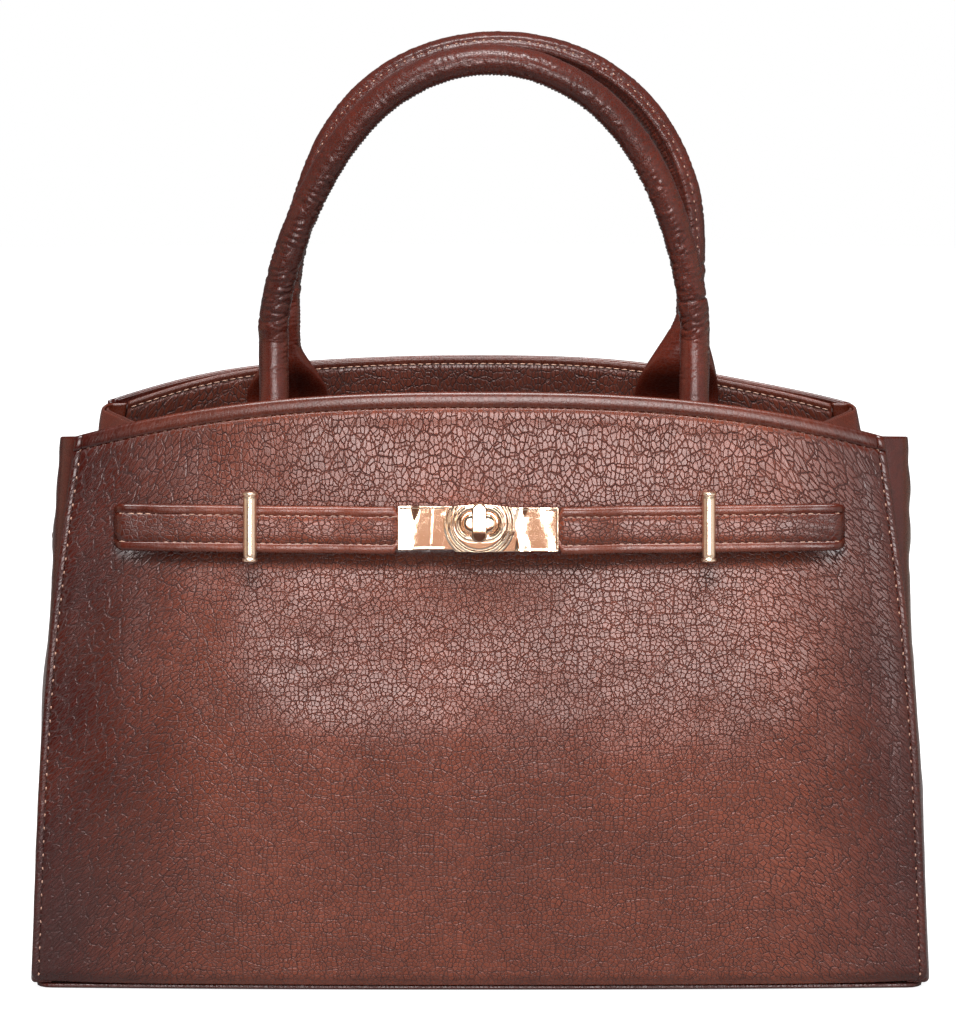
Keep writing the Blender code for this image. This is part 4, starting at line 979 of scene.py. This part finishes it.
# Gives the tree a mesh of open lines, sets its inputs by identifier, and keeps the result as a mesh
def sewn(name, paths, sizes, finish):
    values = dict(zip(("Pitch", "Stitch Length", "Thread Width", "Unevenness", "Thread"), (*sizes, finish)))
    mesh = bpy.data.meshes.new(name + "Paths")
    points, edges = [], []
    for path in paths:
        edges += [(len(points) + i, len(points) + i + 1) for i in range(len(path) - 1)]
        points += [tuple(p) for p in path]
    mesh.from_pydata(points, edges, [])
    guide = linked(name + "Guide", mesh)
    change = guide.modifiers.new("tree", "NODES")
    change.node_group = stitches
    for item in stitches.interface.items_tree:
        if item.in_out == "INPUT" and item.name in values:
            change[item.identifier] = values[item.name]
    bpy.context.view_layer.update()
    result = bpy.data.meshes.new_from_object(guide.evaluated_get(bpy.context.evaluated_depsgraph_get()))
    guide.modifiers.remove(change)
    bpy.data.objects.remove(guide)
    return linked(name, result)


def rimPath(side):
    across = np.linspace(-0.985, 0.985, 400)
    rimLine = rimHeight(across * bag["topWidth"] / 2, side)
    z = rimLine - (face["rimBand"] + 0.0003)
    x = across * halfWidth(z)
    return facePoints(side, x, z, faceRelief(side, x, z, rimLine - z, halfWidth(z) - np.abs(x), z) + 0.0001)


def sidePath(side, hand):
    z = np.linspace(0.006, bag["cornerHeight"] - face["rimBand"], 260)
    x = hand * (halfWidth(z) - face["seam"])
    out = faceRelief(side, x, z, rimHeight(x, side) - z, halfWidth(z) - np.abs(x), z)
    return facePoints(side, x, z, out + 0.0001)


def strapPath(hand, up):
    x = np.linspace(strap[handWord[hand] + "End"] + 0.0012, strap["slitX"] - 0.0022, 200)
    z = strap["level"] + up * (strap["tall"] / 2 - strap["rowInset"]) + 0 * x
    return facePoints(front, hand * x, z, strapOut(hand, x) + strap["thick"] / 2 - 0.0004)


def facingPath(side):
    across = np.linspace(-0.98, 0.98, 400)
    z = rimHeight(across * bag["topWidth"] / 2, side) - 0.0030
    x = across * (halfWidth(z) - gusset["flange"])
    return facePoints(side, x, z, 0.0001 - (bag["panel"] + bag["seat"] + gusset["facing"]))


# The same path half a stitch on, so that the needle holes fall between the stitches
def halfStitchOn(path, pitch):
    return pointsAt(path, np.linspace(pitch / 2, runAlong(path)[-1] - pitch / 2, len(path)))


# A seam's stitches, and dark beads between them painted as the shade in the needle holes
def seamOf(name, paths):
    pitch, _, width, uneven = stitching[name]
    between = [halfStitchOn(path, pitch) for path in paths]
    holeSizes = (pitch, width * stitching["holeLength"], width * stitching["holeWidth"], uneven)
    return [sewn(name + "Stitches", paths, stitching[name], thread),
            sewn(name + "Holes", between, holeSizes, hole)]


bothFaces = (front, back)
finePaths = [strapPath(hand, up) for hand in (left, right) for up in (-1, 1)]
threads = seamOf("side", [sidePath(side, hand) for side in bothFaces for hand in (left, right)])
threads += seamOf("rim", [rimPath(side) for side in bothFaces])
threads += seamOf("fine", finePaths + [facingPath(side) for side in bothFaces])


def handleStitches(word, side):
    line, out, seam, _ = handleLine(word, side)
    keep = line[:, 2] > handle["pivotZ"] + 0.012
    angle = handle["stitchAt"]
    reach = handle["radius"] + handle["lap"] - 0.0003
    path = line + seam * math.cos(angle) * reach + out * math.sin(angle) * reach
    return sewn(word + "HandleStitches", [path[keep]], stitching["handle"], thread)


seams = {word: handleStitches(word, side) for word, side in faceSides.items()}
print("stitches made")


# Metal: built in frames that lie on the front face, with x across, up, and out away from the leather

def hardwarePlace(x, z):
    step = 0.001
    lean = (faceDepth(x, z + step) - faceDepth(x, z - step)) / (2 * step)
    yaw = (faceDepth(x - step, z) - faceDepth(x + step, z)) / (2 * step)
    turn = Euler((math.atan(lean), 0, math.atan(yaw))).to_matrix()
    return np.array([x, -faceDepth(x, z), z]), np.array(turn)


# Points of such a frame as points of the bag
def inPlace(place, x, up, out):
    at, turn = place
    return np.stack([x, -out, up], axis=-1) @ turn.T + at


# Closed outline of a box with round corners, and its outward normals
def roundedBox(halfWide, halfTall, corner, steps=12, along=10):
    points, normals = [], []
    for quarter in range(4):
        cx = (halfWide - corner) * (1 if quarter in (0, 3) else -1)
        cz = (halfTall - corner) * (1 if quarter in (0, 1) else -1)
        for i in range(steps + 1):
            angle = math.pi / 2 * (quarter + i / steps)
            normals.append((math.cos(angle), math.sin(angle)))
            points.append((cx + corner * normals[-1][0], cz + corner * normals[-1][1]))
        straight = 2 * ((halfWide if quarter % 2 == 0 else halfTall) - corner)
        if straight > 1e-6:
            (nx, nz), (lastX, lastZ) = normals[-1], points[-1]
            for share in np.linspace(0, straight, along + 2)[1:-1]:
                normals.append((nx, nz))
                points.append((lastX - nz * share, lastZ + nx * share))
    return np.array(points), np.array(normals)


# A stamped or cast piece: its outline drawn in at each level, the first and last level closing it
def pressed(name, place, outline, levels, finish, centre=(0.0, 0.0), shape=None):
    points, normals = outline
    rings = []
    for inset, level in levels:
        x, up = (points - normals * inset + centre).T
        rings.append(inPlace(place, x, up, level + 0 * x if shape is None else shape(x, up, level)))
    rings = np.array(rings)
    return closedTube(name, np.concatenate([rings, rings[:, :1]], axis=1), finish)


def evenLoop(points, count):
    loop = np.concatenate([points, points[:1]])
    return pointsAt(loop, np.linspace(0, runAlong(loop)[-1], count + 1)[:-1])


# How far inside a bar with round ends a point lies; negative outside it
def insideSlot(x, up, length, height):
    radius = min(length, height) / 2
    dx = np.maximum(np.abs(x) - (length / 2 - radius), 0)
    dz = np.maximum(np.abs(up) - (height / 2 - radius), 0)
    return radius - np.sqrt(dx * dx + dz * dz)


lock = {
    "z": 0.1784, "rise": 0.0007,             # the pivot's height, and the slot's centre above it
    "base": (0.0066, 0.0086), "baseX": -0.0026, "baseUp": -0.0018, "baseLow": 0.0003, "baseHigh": 0.0012,
    "post": (0.0141, 0.0088), "shoulder": 0.0010, "shoulderHigh": 0.0052, "postHigh": 0.0066,
    "postLow": 0.0008, "bore": 0.0030, "slot": (0.0146, 0.0094), "corner": 0.0005, "swell": 0.0125,
    "leftEnd": 0.0302, "leftHalf": 0.00810, "leftUp": -0.0011, "leftRound": 0.0105, "leftBulge": 0.0,
    "leftLow": 0.0015, "leftTongue": 0.0015, "leftHigh": 0.0043,
    "rightEnd": 0.0293, "rightHalf": 0.00815, "rightUp": -0.0016, "rightRound": 0.0132, "rightBulge": 0.0011,
    "rightLow": 0.0030, "rightTongue": 0.0046, "rightHigh": 0.0058,
    "knob": (0.00275, 0.0073), "knobUp": 0.0011, "knobLow": 0.0069, "knobThick": 0.0030, "shaft": 0.0012,
    "rimWide": 0.00085, "rim": 0.00030, "edge": 0.00035,
}
# Ridges and grooves of the right plate, as height, distance and width: round its centre and round its slot
bezels = ((0.00034, 0.0126, 0.00040), (-0.00022, 0.0118, 0.00035), (0.00030, 0.0108, 0.00042),
          (-0.00022, 0.0100, 0.00035))
slotBezels = ((0.00038, 0.0011, 0.00045), (-0.00018, 0.0019, 0.0003))
clasp = hardwarePlace(0.0, lock["z"])
slotCentre = np.array([0.0, lock["rise"]])


# A plate with a hole: points run from the hole's edge to the outline, over the top and back below
def slottedPlate(name, outline, opening, centre, low, high, edge, count=360, across=90):
    rays = evenLoop(outline, count) - centre
    reach = np.linalg.norm(rays, axis=1)
    aimX, aimUp = unit(rays).T
    near, far = np.zeros(count), reach
    for _ in range(40):
        tried = (near + far) / 2
        within = insideSlot(aimX * tried, aimUp * tried, *opening) > 0
        near, far = np.where(within, tried, near), np.where(within, far, tried)
    spread = np.linspace(0, 1, across)
    shares = mix(spread, 0.5 - 0.5 * np.cos(math.pi * spread), 0.55)[:, None]
    distance = near + (reach - near) * shares
    x, up = centre[0] + aimX * distance, centre[1] + aimUp * distance
    eased = edge * (1 - edgeRound(np.minimum(distance - near, reach - distance), edge))
    top = inPlace(clasp, x, up, high(x, up) - eased)
    under = inPlace(clasp, x, up, low(x, up) + eased * 0.5)
    rings = np.concatenate([top, under[::-1], top[:1]])
    return joinedRings(name, np.concatenate([rings, rings[:, :1]], axis=1), gold, capped=False)


# Outline of a plate: square at its outer end, bowed over the lock, and round past it
def plateEdge(word):
    end, half, centre, radius, bulge = [lock[word + key] for key in ("End", "Half", "Up", "Round", "Bulge")]
    corner = lock["corner"]

    def top(x):
        return centre + half + bulge * clamp(1 - (x / lock["swell"]) ** 2)

    def bottom(x):
        return centre - half - 0.3 * bulge * clamp(1 - (x / lock["swell"]) ** 2)

    across = np.linspace(lock["swell"], 0.0, 20)
    angles = np.linspace(math.pi / 2, 3 * math.pi / 2, 90)
    roundX = radius * np.cos(angles)
    roundUp = np.clip(radius * np.sin(angles), bottom(roundX), top(roundX))
    turn = np.linspace(0, math.pi / 2, 6)
    x = [end - corner + corner * np.cos(turn - math.pi / 2), end - corner + corner * np.cos(turn),
         across, roundX, across[::-1]]
    up = [centre - half + corner + corner * np.sin(turn - math.pi / 2),
          centre + half - corner + corner * np.sin(turn), top(across), roundUp, bottom(across[::-1])]
    return np.stack([hands[word] * np.concatenate(x), np.concatenate(up)], axis=-1)


def plateTop(hand, x, up):
    end, half, centre, level = [lock[handWord[hand] + key] for key in ("End", "Half", "Up", "High")]
    outward = hand * x
    fromEdge = np.minimum(half - np.abs(up - centre), end - outward)
    body = smooth(outward, 0.0128, 0.0142)
    rim = lock["rim"] * (1 - smooth(fromEdge, lock["rimWide"] * 0.7, lock["rimWide"] * 1.2)) * body
    if hand == left:
        tilt = 0.010 - 0.098 * smooth(outward, 0.0216, 0.0258)
        ridge = -0.00010 * hump(outward + 0.06 * up, 0.0180, 0.00060)
    else:
        tilt = 0.010 - 0.092 * hump(outward, 0.0154, 0.0022) - 0.05 * hump(outward, 0.0252, 0.0020)
        ridge = 0.0
        radius = np.sqrt(x * x + (up - lock["rise"]) ** 2)
        fromSlot = -insideSlot(x, up - lock["rise"], *lock["slot"])
        for distance, turned in ((radius, bezels), (fromSlot, slotBezels)):
            level = level + sum(height * hump(distance, at, width) for height, at, width in turned)
    waves = 0.000012 * ripples(x, up, 0.0045, 81 + hand) + 0.000003 * ripples(x * 0.4, up, 0.0021, 85 + hand)
    return level + rim + (tilt * (up - centre) + ridge) * body + waves


# One end of the strap: a sleeve that holds it, and a thin tongue round the post
def makePlate(word, hand):
    def under(x, up):
        return mix(lock[word + "Tongue"], lock[word + "Low"], smooth(hand * x, 0.0130, 0.0138))

    def over(x, up):
        return plateTop(hand, x, up)

    return slottedPlate(word + "LockPlate", plateEdge(word), lock["slot"], slotCentre, under, over,
                        lock["edge"])


# The post: a domed top over a shoulder, which fills the plates' slots
def postTop(x, up):
    depth = insideSlot(x, up - lock["rise"], *lock["post"])
    raised = smooth(depth, lock["shoulder"] - 0.0003, lock["shoulder"] + 0.0003)
    domed = lock["postHigh"] - 0.0004 * (1 - clamp((depth - lock["shoulder"]) / 0.0020)) ** 2
    return mix(lock["shoulderHigh"], domed - 0.06 * (up - lock["rise"]), raised)


# The grip is tipped toward the light above, and falls away at its foot
def knobShape(x, up, level):
    share = smooth(level, knobLow, knobHigh)
    past = up + 0.0022
    return level + share * np.where(past > 0, -0.10 * past, 0.15 * past)


plates = {word: makePlate(word, hand) for word, hand in hands.items()}
low, high = lock["baseLow"], lock["baseHigh"]
lockBase = pressed("lockBase", clasp, roundedBox(*lock["base"], 0.0030),
                   [(0.0003, low), (0.0, low + 0.0002), (0.0, high - 0.0003), (0.0001, high - 0.0001),
                    (0.0004, high)], gold, centre=(lock["baseX"], lock["baseUp"]))
length, height = lock["post"]
postEdge = roundedBox(length / 2, height / 2, height / 2)[0] + slotCentre
lockPost = slottedPlate("lockPost", postEdge, (lock["bore"], lock["bore"]), np.zeros(2),
                        lambda x, up: lock["postLow"] + 0 * x, postTop, 0.0003, count=120, across=30)

knobLow, knobHigh = lock["knobLow"], lock["knobLow"] + lock["knobThick"]
knobRound = [(0.00035 + 0.0002 * (1 - math.cos(angle)), knobHigh - 0.0003 + 0.0003 * math.sin(angle))
             for angle in np.linspace(0.15, 1, 6) * math.pi / 2]
knobLevels = [(0.0006, knobLow), (0.00035, knobLow + 0.0001), (0.00035, knobHigh - 0.0007), *knobRound,
              (0.0010, knobHigh), (0.0018, knobHigh + 0.00002), (0.0024, knobHigh + 0.00003),
              (0.00275, knobHigh + 0.00003)]
# The flank is drawn in the darker gold: painted shade round the knob's face
flankLevels = [(0.0006, knobLow + 0.0001), (0.0001, knobLow + 0.0002), (0.0, knobLow + 0.0005),
               (0.0, knobHigh - 0.0008), (0.00015, knobHigh - 0.0005), (0.0006, knobHigh - 0.0005)]
knobOutline = roundedBox(*lock["knob"], lock["knob"][0], steps=16)
knobParts = []
for name, levels, finish in (("turnKnob", knobLevels, gold), ("knobEdge", flankLevels, shadedFlankGold)):
    knobParts.append(pressed(name, clasp, knobOutline, levels, finish, (0.0, lock["knobUp"]), knobShape))
knobParts.append(pressed("knobShaft", clasp, roundedBox(*(lock["shaft"],) * 3, steps=6),
                         [(0.0, lock["postHigh"] - 0.0032), (0.0, knobLow + 0.0006)], gold))

barLoop = {
    "x": 0.0845, "rise": 0.0008, "radius": 0.00248, "collar": 0.00285, "half": 0.0130, "level": 0.0054,
    "legAt": 0.0104, "legRadius": 0.0014, "legFoot": -0.0032, "sides": 40,
}


# Round bar with a collar at each end, on two legs that go down through the leather
def makeBar(name, hand):
    place = hardwarePlace(hand * barLoop["x"], strap["level"] + barLoop["rise"])
    half, thin, wide = barLoop["half"], barLoop["radius"], barLoop["collar"]
    profile = [(half, 0.7 * wide), (half - 0.0002, 0.93 * wide), (half - 0.0005, wide),
               (half - 0.0010, wide), (half - 0.0013, 0.96 * wide), (half - 0.0015, thin - 0.00025),
               (half - 0.0018, thin - 0.00025), (half - 0.0021, thin - 0.00003), (half - 0.0030, thin)]
    between = [(level, thin) for level in np.linspace(half - 0.005, 0.005 - half, 14)]
    mirrored = [(-level, radius) for level, radius in reversed(profile)]
    sides = np.linspace(0, 2 * math.pi, barLoop["sides"] + 1)
    rings = []
    for level, radius in profile + between + mirrored:
        wavering = radius * (1 + 0.004 * math.sin(level * 900))
        rings.append(inPlace(place, wavering * np.cos(sides), level + 0 * sides,
                             barLoop["level"] + wavering * np.sin(sides)))
    made = [closedTube(name, np.array(rings), satinGold)]
    for foot, end in (("FootLow", -1), ("FootHigh", 1)):
        made.append(pressed(name + foot, place, roundedBox(*(barLoop["legRadius"],) * 3, steps=6),
                            [(0.0, barLoop["legFoot"]), (0.0, barLoop["level"])], gold,
                            centre=(0.0, end * barLoop["legAt"])))
    return made


bars = {word: makeBar(word + "BarLoop", hand) for word, hand in hands.items()}

ring = {
    "x": 0.163869, "z": 0.164, "wire": 0.0013, "width": 0.0200, "drop": 0.0150, "barShare": 0.8,
    "bowShape": 0.8, "sides": 20, "clearance": 0.0004,
    "tab": 0.0012, "tabTop": 0.1770, "tabWide": 0.0140, "wrap": math.radians(265),
}


# Wire bent to a D: a straight bar through its leather tab, and a bow that hangs below it
def makeRing(name, hand):
    half = ring["width"] / 2
    bow = [(half * math.cos(a), -ring["drop"] * max(math.sin(a), 0.0) ** ring["bowShape"])
           for a in np.linspace(0, math.pi, 60)[1:-1]]
    bar = [(y, 0.0) for y in np.linspace(-half * ring["barShare"], half * ring["barShare"], 24)]
    loop = evenLoop(np.array(bar + bow), 150)
    for _ in range(3):
        loop = (np.roll(loop, 1, axis=0) + 2 * loop + np.roll(loop, -1, axis=0)) / 4
    along = unit(np.roll(loop, -1, axis=0) - np.roll(loop, 1, axis=0))
    sides = np.linspace(0, 2 * math.pi, ring["sides"] + 1)
    across = ring["wire"] * np.sin(sides)
    x = hand * ring["x"] + ring["wire"] * np.cos(sides) + 0 * loop[:, :1]
    y = loop[:, :1] + across * along[:, 1:]
    z = ring["z"] + loop[:, 1:] - across * along[:, :1]
    rings = np.stack([x, y, z], axis=-1)
    return joinedRings(name, np.concatenate([rings, rings[:1]]), gold, capped=False)


# Leather strip sewn on the gusset and rolled outward at its foot round the ring's bar
def makeRingTab(name, hand):
    half = ring["tab"] / 2
    rows = np.linspace(ring["tabTop"], ring["z"], 12)
    skin = gussetReach(hand, np.zeros_like(rows), rows) + gusset["sheet"] / 2 + bag["seat"] + half
    turn = ring["wire"] + ring["clearance"] + half
    easing = smooth(rows, ring["z"] + 0.007, ring["z"])
    strip = [(mix(x, ring["x"] - turn, share), z) for x, z, share in zip(skin, rows, easing)]
    for angle in math.pi + np.linspace(0, ring["wrap"], 40)[1:]:
        strip.append((ring["x"] + turn * math.cos(angle), ring["z"] + turn * math.sin(angle)))
    strip = np.array(strip)
    length = runAlong(strip)[-1]
    even = tightLines(length, 0.0005, np.array([0, 0.0001, 0.0003, 0.0006]))
    x, z = [column[:, None] for column in pointsAt(strip, even).T]
    y = tightLines(ring["tabWide"], 0.0006, edgeSteps[:6])
    edge = np.minimum(y, ring["tabWide"] - y)[None, :]
    ends = np.minimum(even, length - even)[:, None]
    flat = 0 * x * y
    across = y - ring["tabWide"] / 2 + flat
    middle = np.stack([hand * x + flat, across, z + flat], axis=-1)
    grooved = half * (1 - 0.3 * hump(edge, 0.0016, 0.0004))
    return closedSheet(name, middle, grooved, ((edge, half), (ends, half)), (hand, 0, 0),
                       np.stack([across, even[:, None] + flat], axis=-1), 0.5 + flat, rolled)


hangers = {word: (makeRing(word + "Ring", hand), makeRingTab(word + "RingTab", hand))
           for word, hand in hands.items()}
print("metal made")


# Every piece rides on its body except the two handle sheets, which stay where they were built, and the
# frame's own nodes get their finishes

dressed = [(faces[word], "root", word + "_panel") for word in faceSides]
dressed += [(basePanel, "root", "base_panel"), (pouch, "root", "lining")]
for made, node in ((faceFacings, "_facing"), (straps, "_strap"), (plates, "_lock_plate")):
    dressed += [(piece, "root", word + node) for word, piece in made.items()]
for word in hands:
    (sheet, facing), (loop, tab) = bagSides[word], hangers[word]
    dressed += [(sheet, "root", word + "_gusset"), (facing, "root", word + "_facing"),
                (loop, word + "_ring", word + "_ring"), (tab, "root", word + "_ring_tab")]
    dressed += [(piece, "root", word + "_bar_loop") for piece in bars[word]]
dressed += [(piece, "root", "lock_base") for piece in (lockBase, lockPost)]
dressed += [(piece, "turn_knob", "turn_knob") for piece in knobParts]
for piece, body, replaced in dressed:
    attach(piece, body)
    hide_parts(replaced)
for piece in threads:
    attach(piece, "root")
for word, side in faceSides.items():
    low, high = [(0, side * handle["pivotY"], handle["pivotZ"] + way * handle["blend"]) for way in (-1, 1)]
    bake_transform(handles[word])
    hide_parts(word + "_handle_cover", word + "_handle_core", word + "_left_tab",
                word + "_right_tab")
    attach(seams[word], word + "_handle")
finishes = {"pale_gold_plate": gold, "backing_steel": steel, "stiffener_board": board, "handle_rope": rope,
            "smooth_leather": rolled, "grained_leather": leather, "lining_fabric": lining}
for label, slot in slotOf.items():
    nodes[label].data.materials.clear()
    nodes[label].data.materials.append(finishes[slot])
print("pieces ride on their bodies")


# Floor, light and camera

studio = {
    "focal": 117.39, "cameraAt": (-0.0005, -1.293, 0.3665), "pitch": 81.46,
    "sky": 0.16, "floorGlow": 0.95, "floorShade": 0.36,
}


def seenDirectly(tree):
    rays = addNode(tree, "ShaderNodeLightPath").outputs
    return compute(tree, "MAXIMUM", rays["Is Camera Ray"], rays["Is Transmission Ray"])


# Paper that looks lit to the camera, and is grey to every other ray
def makeFloor():
    bpy.ops.mesh.primitive_circle_add(vertices=96, radius=4.0, fill_type="NGON", location=(0, 0, -0.0003))
    floor = bpy.context.object
    floor.name = "studioFloor"
    made, tree, shader = startMaterial("matt white paper", Roughness=0.9, Specular_IOR_Level=0.1,
                                       Base_Color=(studio["floorShade"],) * 3 + (1.0,))
    glow = compute(tree, "MULTIPLY", seenDirectly(tree), studio["floorGlow"])
    light = addNode(tree, "ShaderNodeEmission", {"Strength": glow}).outputs[0]
    both = addNode(tree, "ShaderNodeAddShader", {0: shader.outputs[0], 1: light}).outputs[0]
    tree.links.new(both, tree.nodes["Material Output"].inputs["Surface"])
    floor.data.materials.append(made)


def makeWorld():
    world = bpy.data.worlds.new("studio")
    bpy.context.scene.world = world
    world.use_nodes = True
    tree = world.node_tree
    sky = tree.nodes["Background"]
    sky.inputs["Color"].default_value = (1, 1, 1, 1)
    tree.links.new(mapRange(tree, seenDirectly(tree), 0.0, 1.0, studio["sky"], 1.0), sky.inputs["Strength"])


def softbox(name, at, aim, size, power):
    lamp = bpy.data.lights.new(name, "AREA")
    lamp.shape = "RECTANGLE"
    lamp.size, lamp.size_y = size
    lamp.energy = power
    made = linked(name, lamp)
    made.visible_camera = False
    made.location = at
    made.rotation_euler = (Vector(aim) - Vector(at)).to_track_quat("-Z", "Y").to_euler()
    return made


# Cards round the bag, which only reflections see: the metal has light and dark to mirror, and the leather
# keeps its depth
def card(name, shade, corners, strength=1.0):
    mesh = bpy.data.meshes.new(name)
    mesh.from_pydata(corners, [], [(0, 1, 2, 3)])
    made = linked(name, mesh)
    finish, _, shader = startMaterial(name + " paint", Roughness=1.0, Base_Color=(0, 0, 0, 1),
                                      Specular_IOR_Level=0.0, Emission_Color=hexColour(shade),
                                      Emission_Strength=strength)
    mesh.materials.append(finish)
    made.visible_camera = made.visible_diffuse = made.visible_shadow = False


def standing(start, end, low, high):
    return [(*start, low), (*end, low), (*end, high), (*start, high)]


def lying(level, *corners):
    return [(*corner, level) for corner in corners]


makeFloor()
makeWorld()
softbox("topSoftbox", (0.0, -0.75, 1.70), (0, 0, 0.12), (1.3, 0.8), 56)
softbox("frontSoftbox", (0.22, -2.30, 0.42), (0.22, 0, 0.25), (1.50, 0.72), 12)
softbox("backSoftbox", (-0.40, 2.20, 1.30), (0, 0, 0.15), (1.40, 1.00), 34).visible_glossy = False
card("brightCard", "#ffffff", standing((-0.53, -2.36), (0.80, -2.36), 0.03, 0.80), strength=8.5)
card("claspCard", "#d2a48e", standing((-0.042, -0.22), (0.042, -0.22), 0.152, 0.184))
card("leftFlag", "#6a4a3c", standing((-1.7, -2.45), (-0.53, -2.45), 0.01, 1.0))
card("lyingCard", "#5c403a", lying(0.005, (-1.7, -2.48), (1.7, -2.48), (1.7, -0.34), (-1.7, -0.34)))
card("rightCard", "#ffffff", standing((1.10, -2.4), (2.3, -0.3), 0.01, 0.9))
card("rightWing", "#d8c4b0", standing((2.3, -0.3), (2.1, 1.2), 0.01, 0.9))
card("rightSheet", "#f0e4d8", lying(0.008, (0.50, -1.35), (2.2, -1.35), (2.2, 1.2), (0.62, 1.2)))
card("leftSheet", "#b89c84", lying(0.008, (-2.2, -0.9), (-0.9, -0.9), (-0.7, 0.9), (-2.2, 0.9)))
card("leftCard", "#e8d8c8", standing((-2.2, -1.7), (-2.3, 0.6), 0.01, 0.9))

lens = bpy.data.cameras.new("camera")
lens.lens = studio["focal"]
lens.sensor_width = 36
lens.clip_start = 0.05
camera = linked("camera", lens)
camera.location = studio["cameraAt"]
camera.rotation_euler = Euler((math.radians(studio["pitch"]), 0, 0))
bpy.context.scene.camera = camera
bpy.context.scene.view_settings.view_transform = "Standard"

print("scene ready")
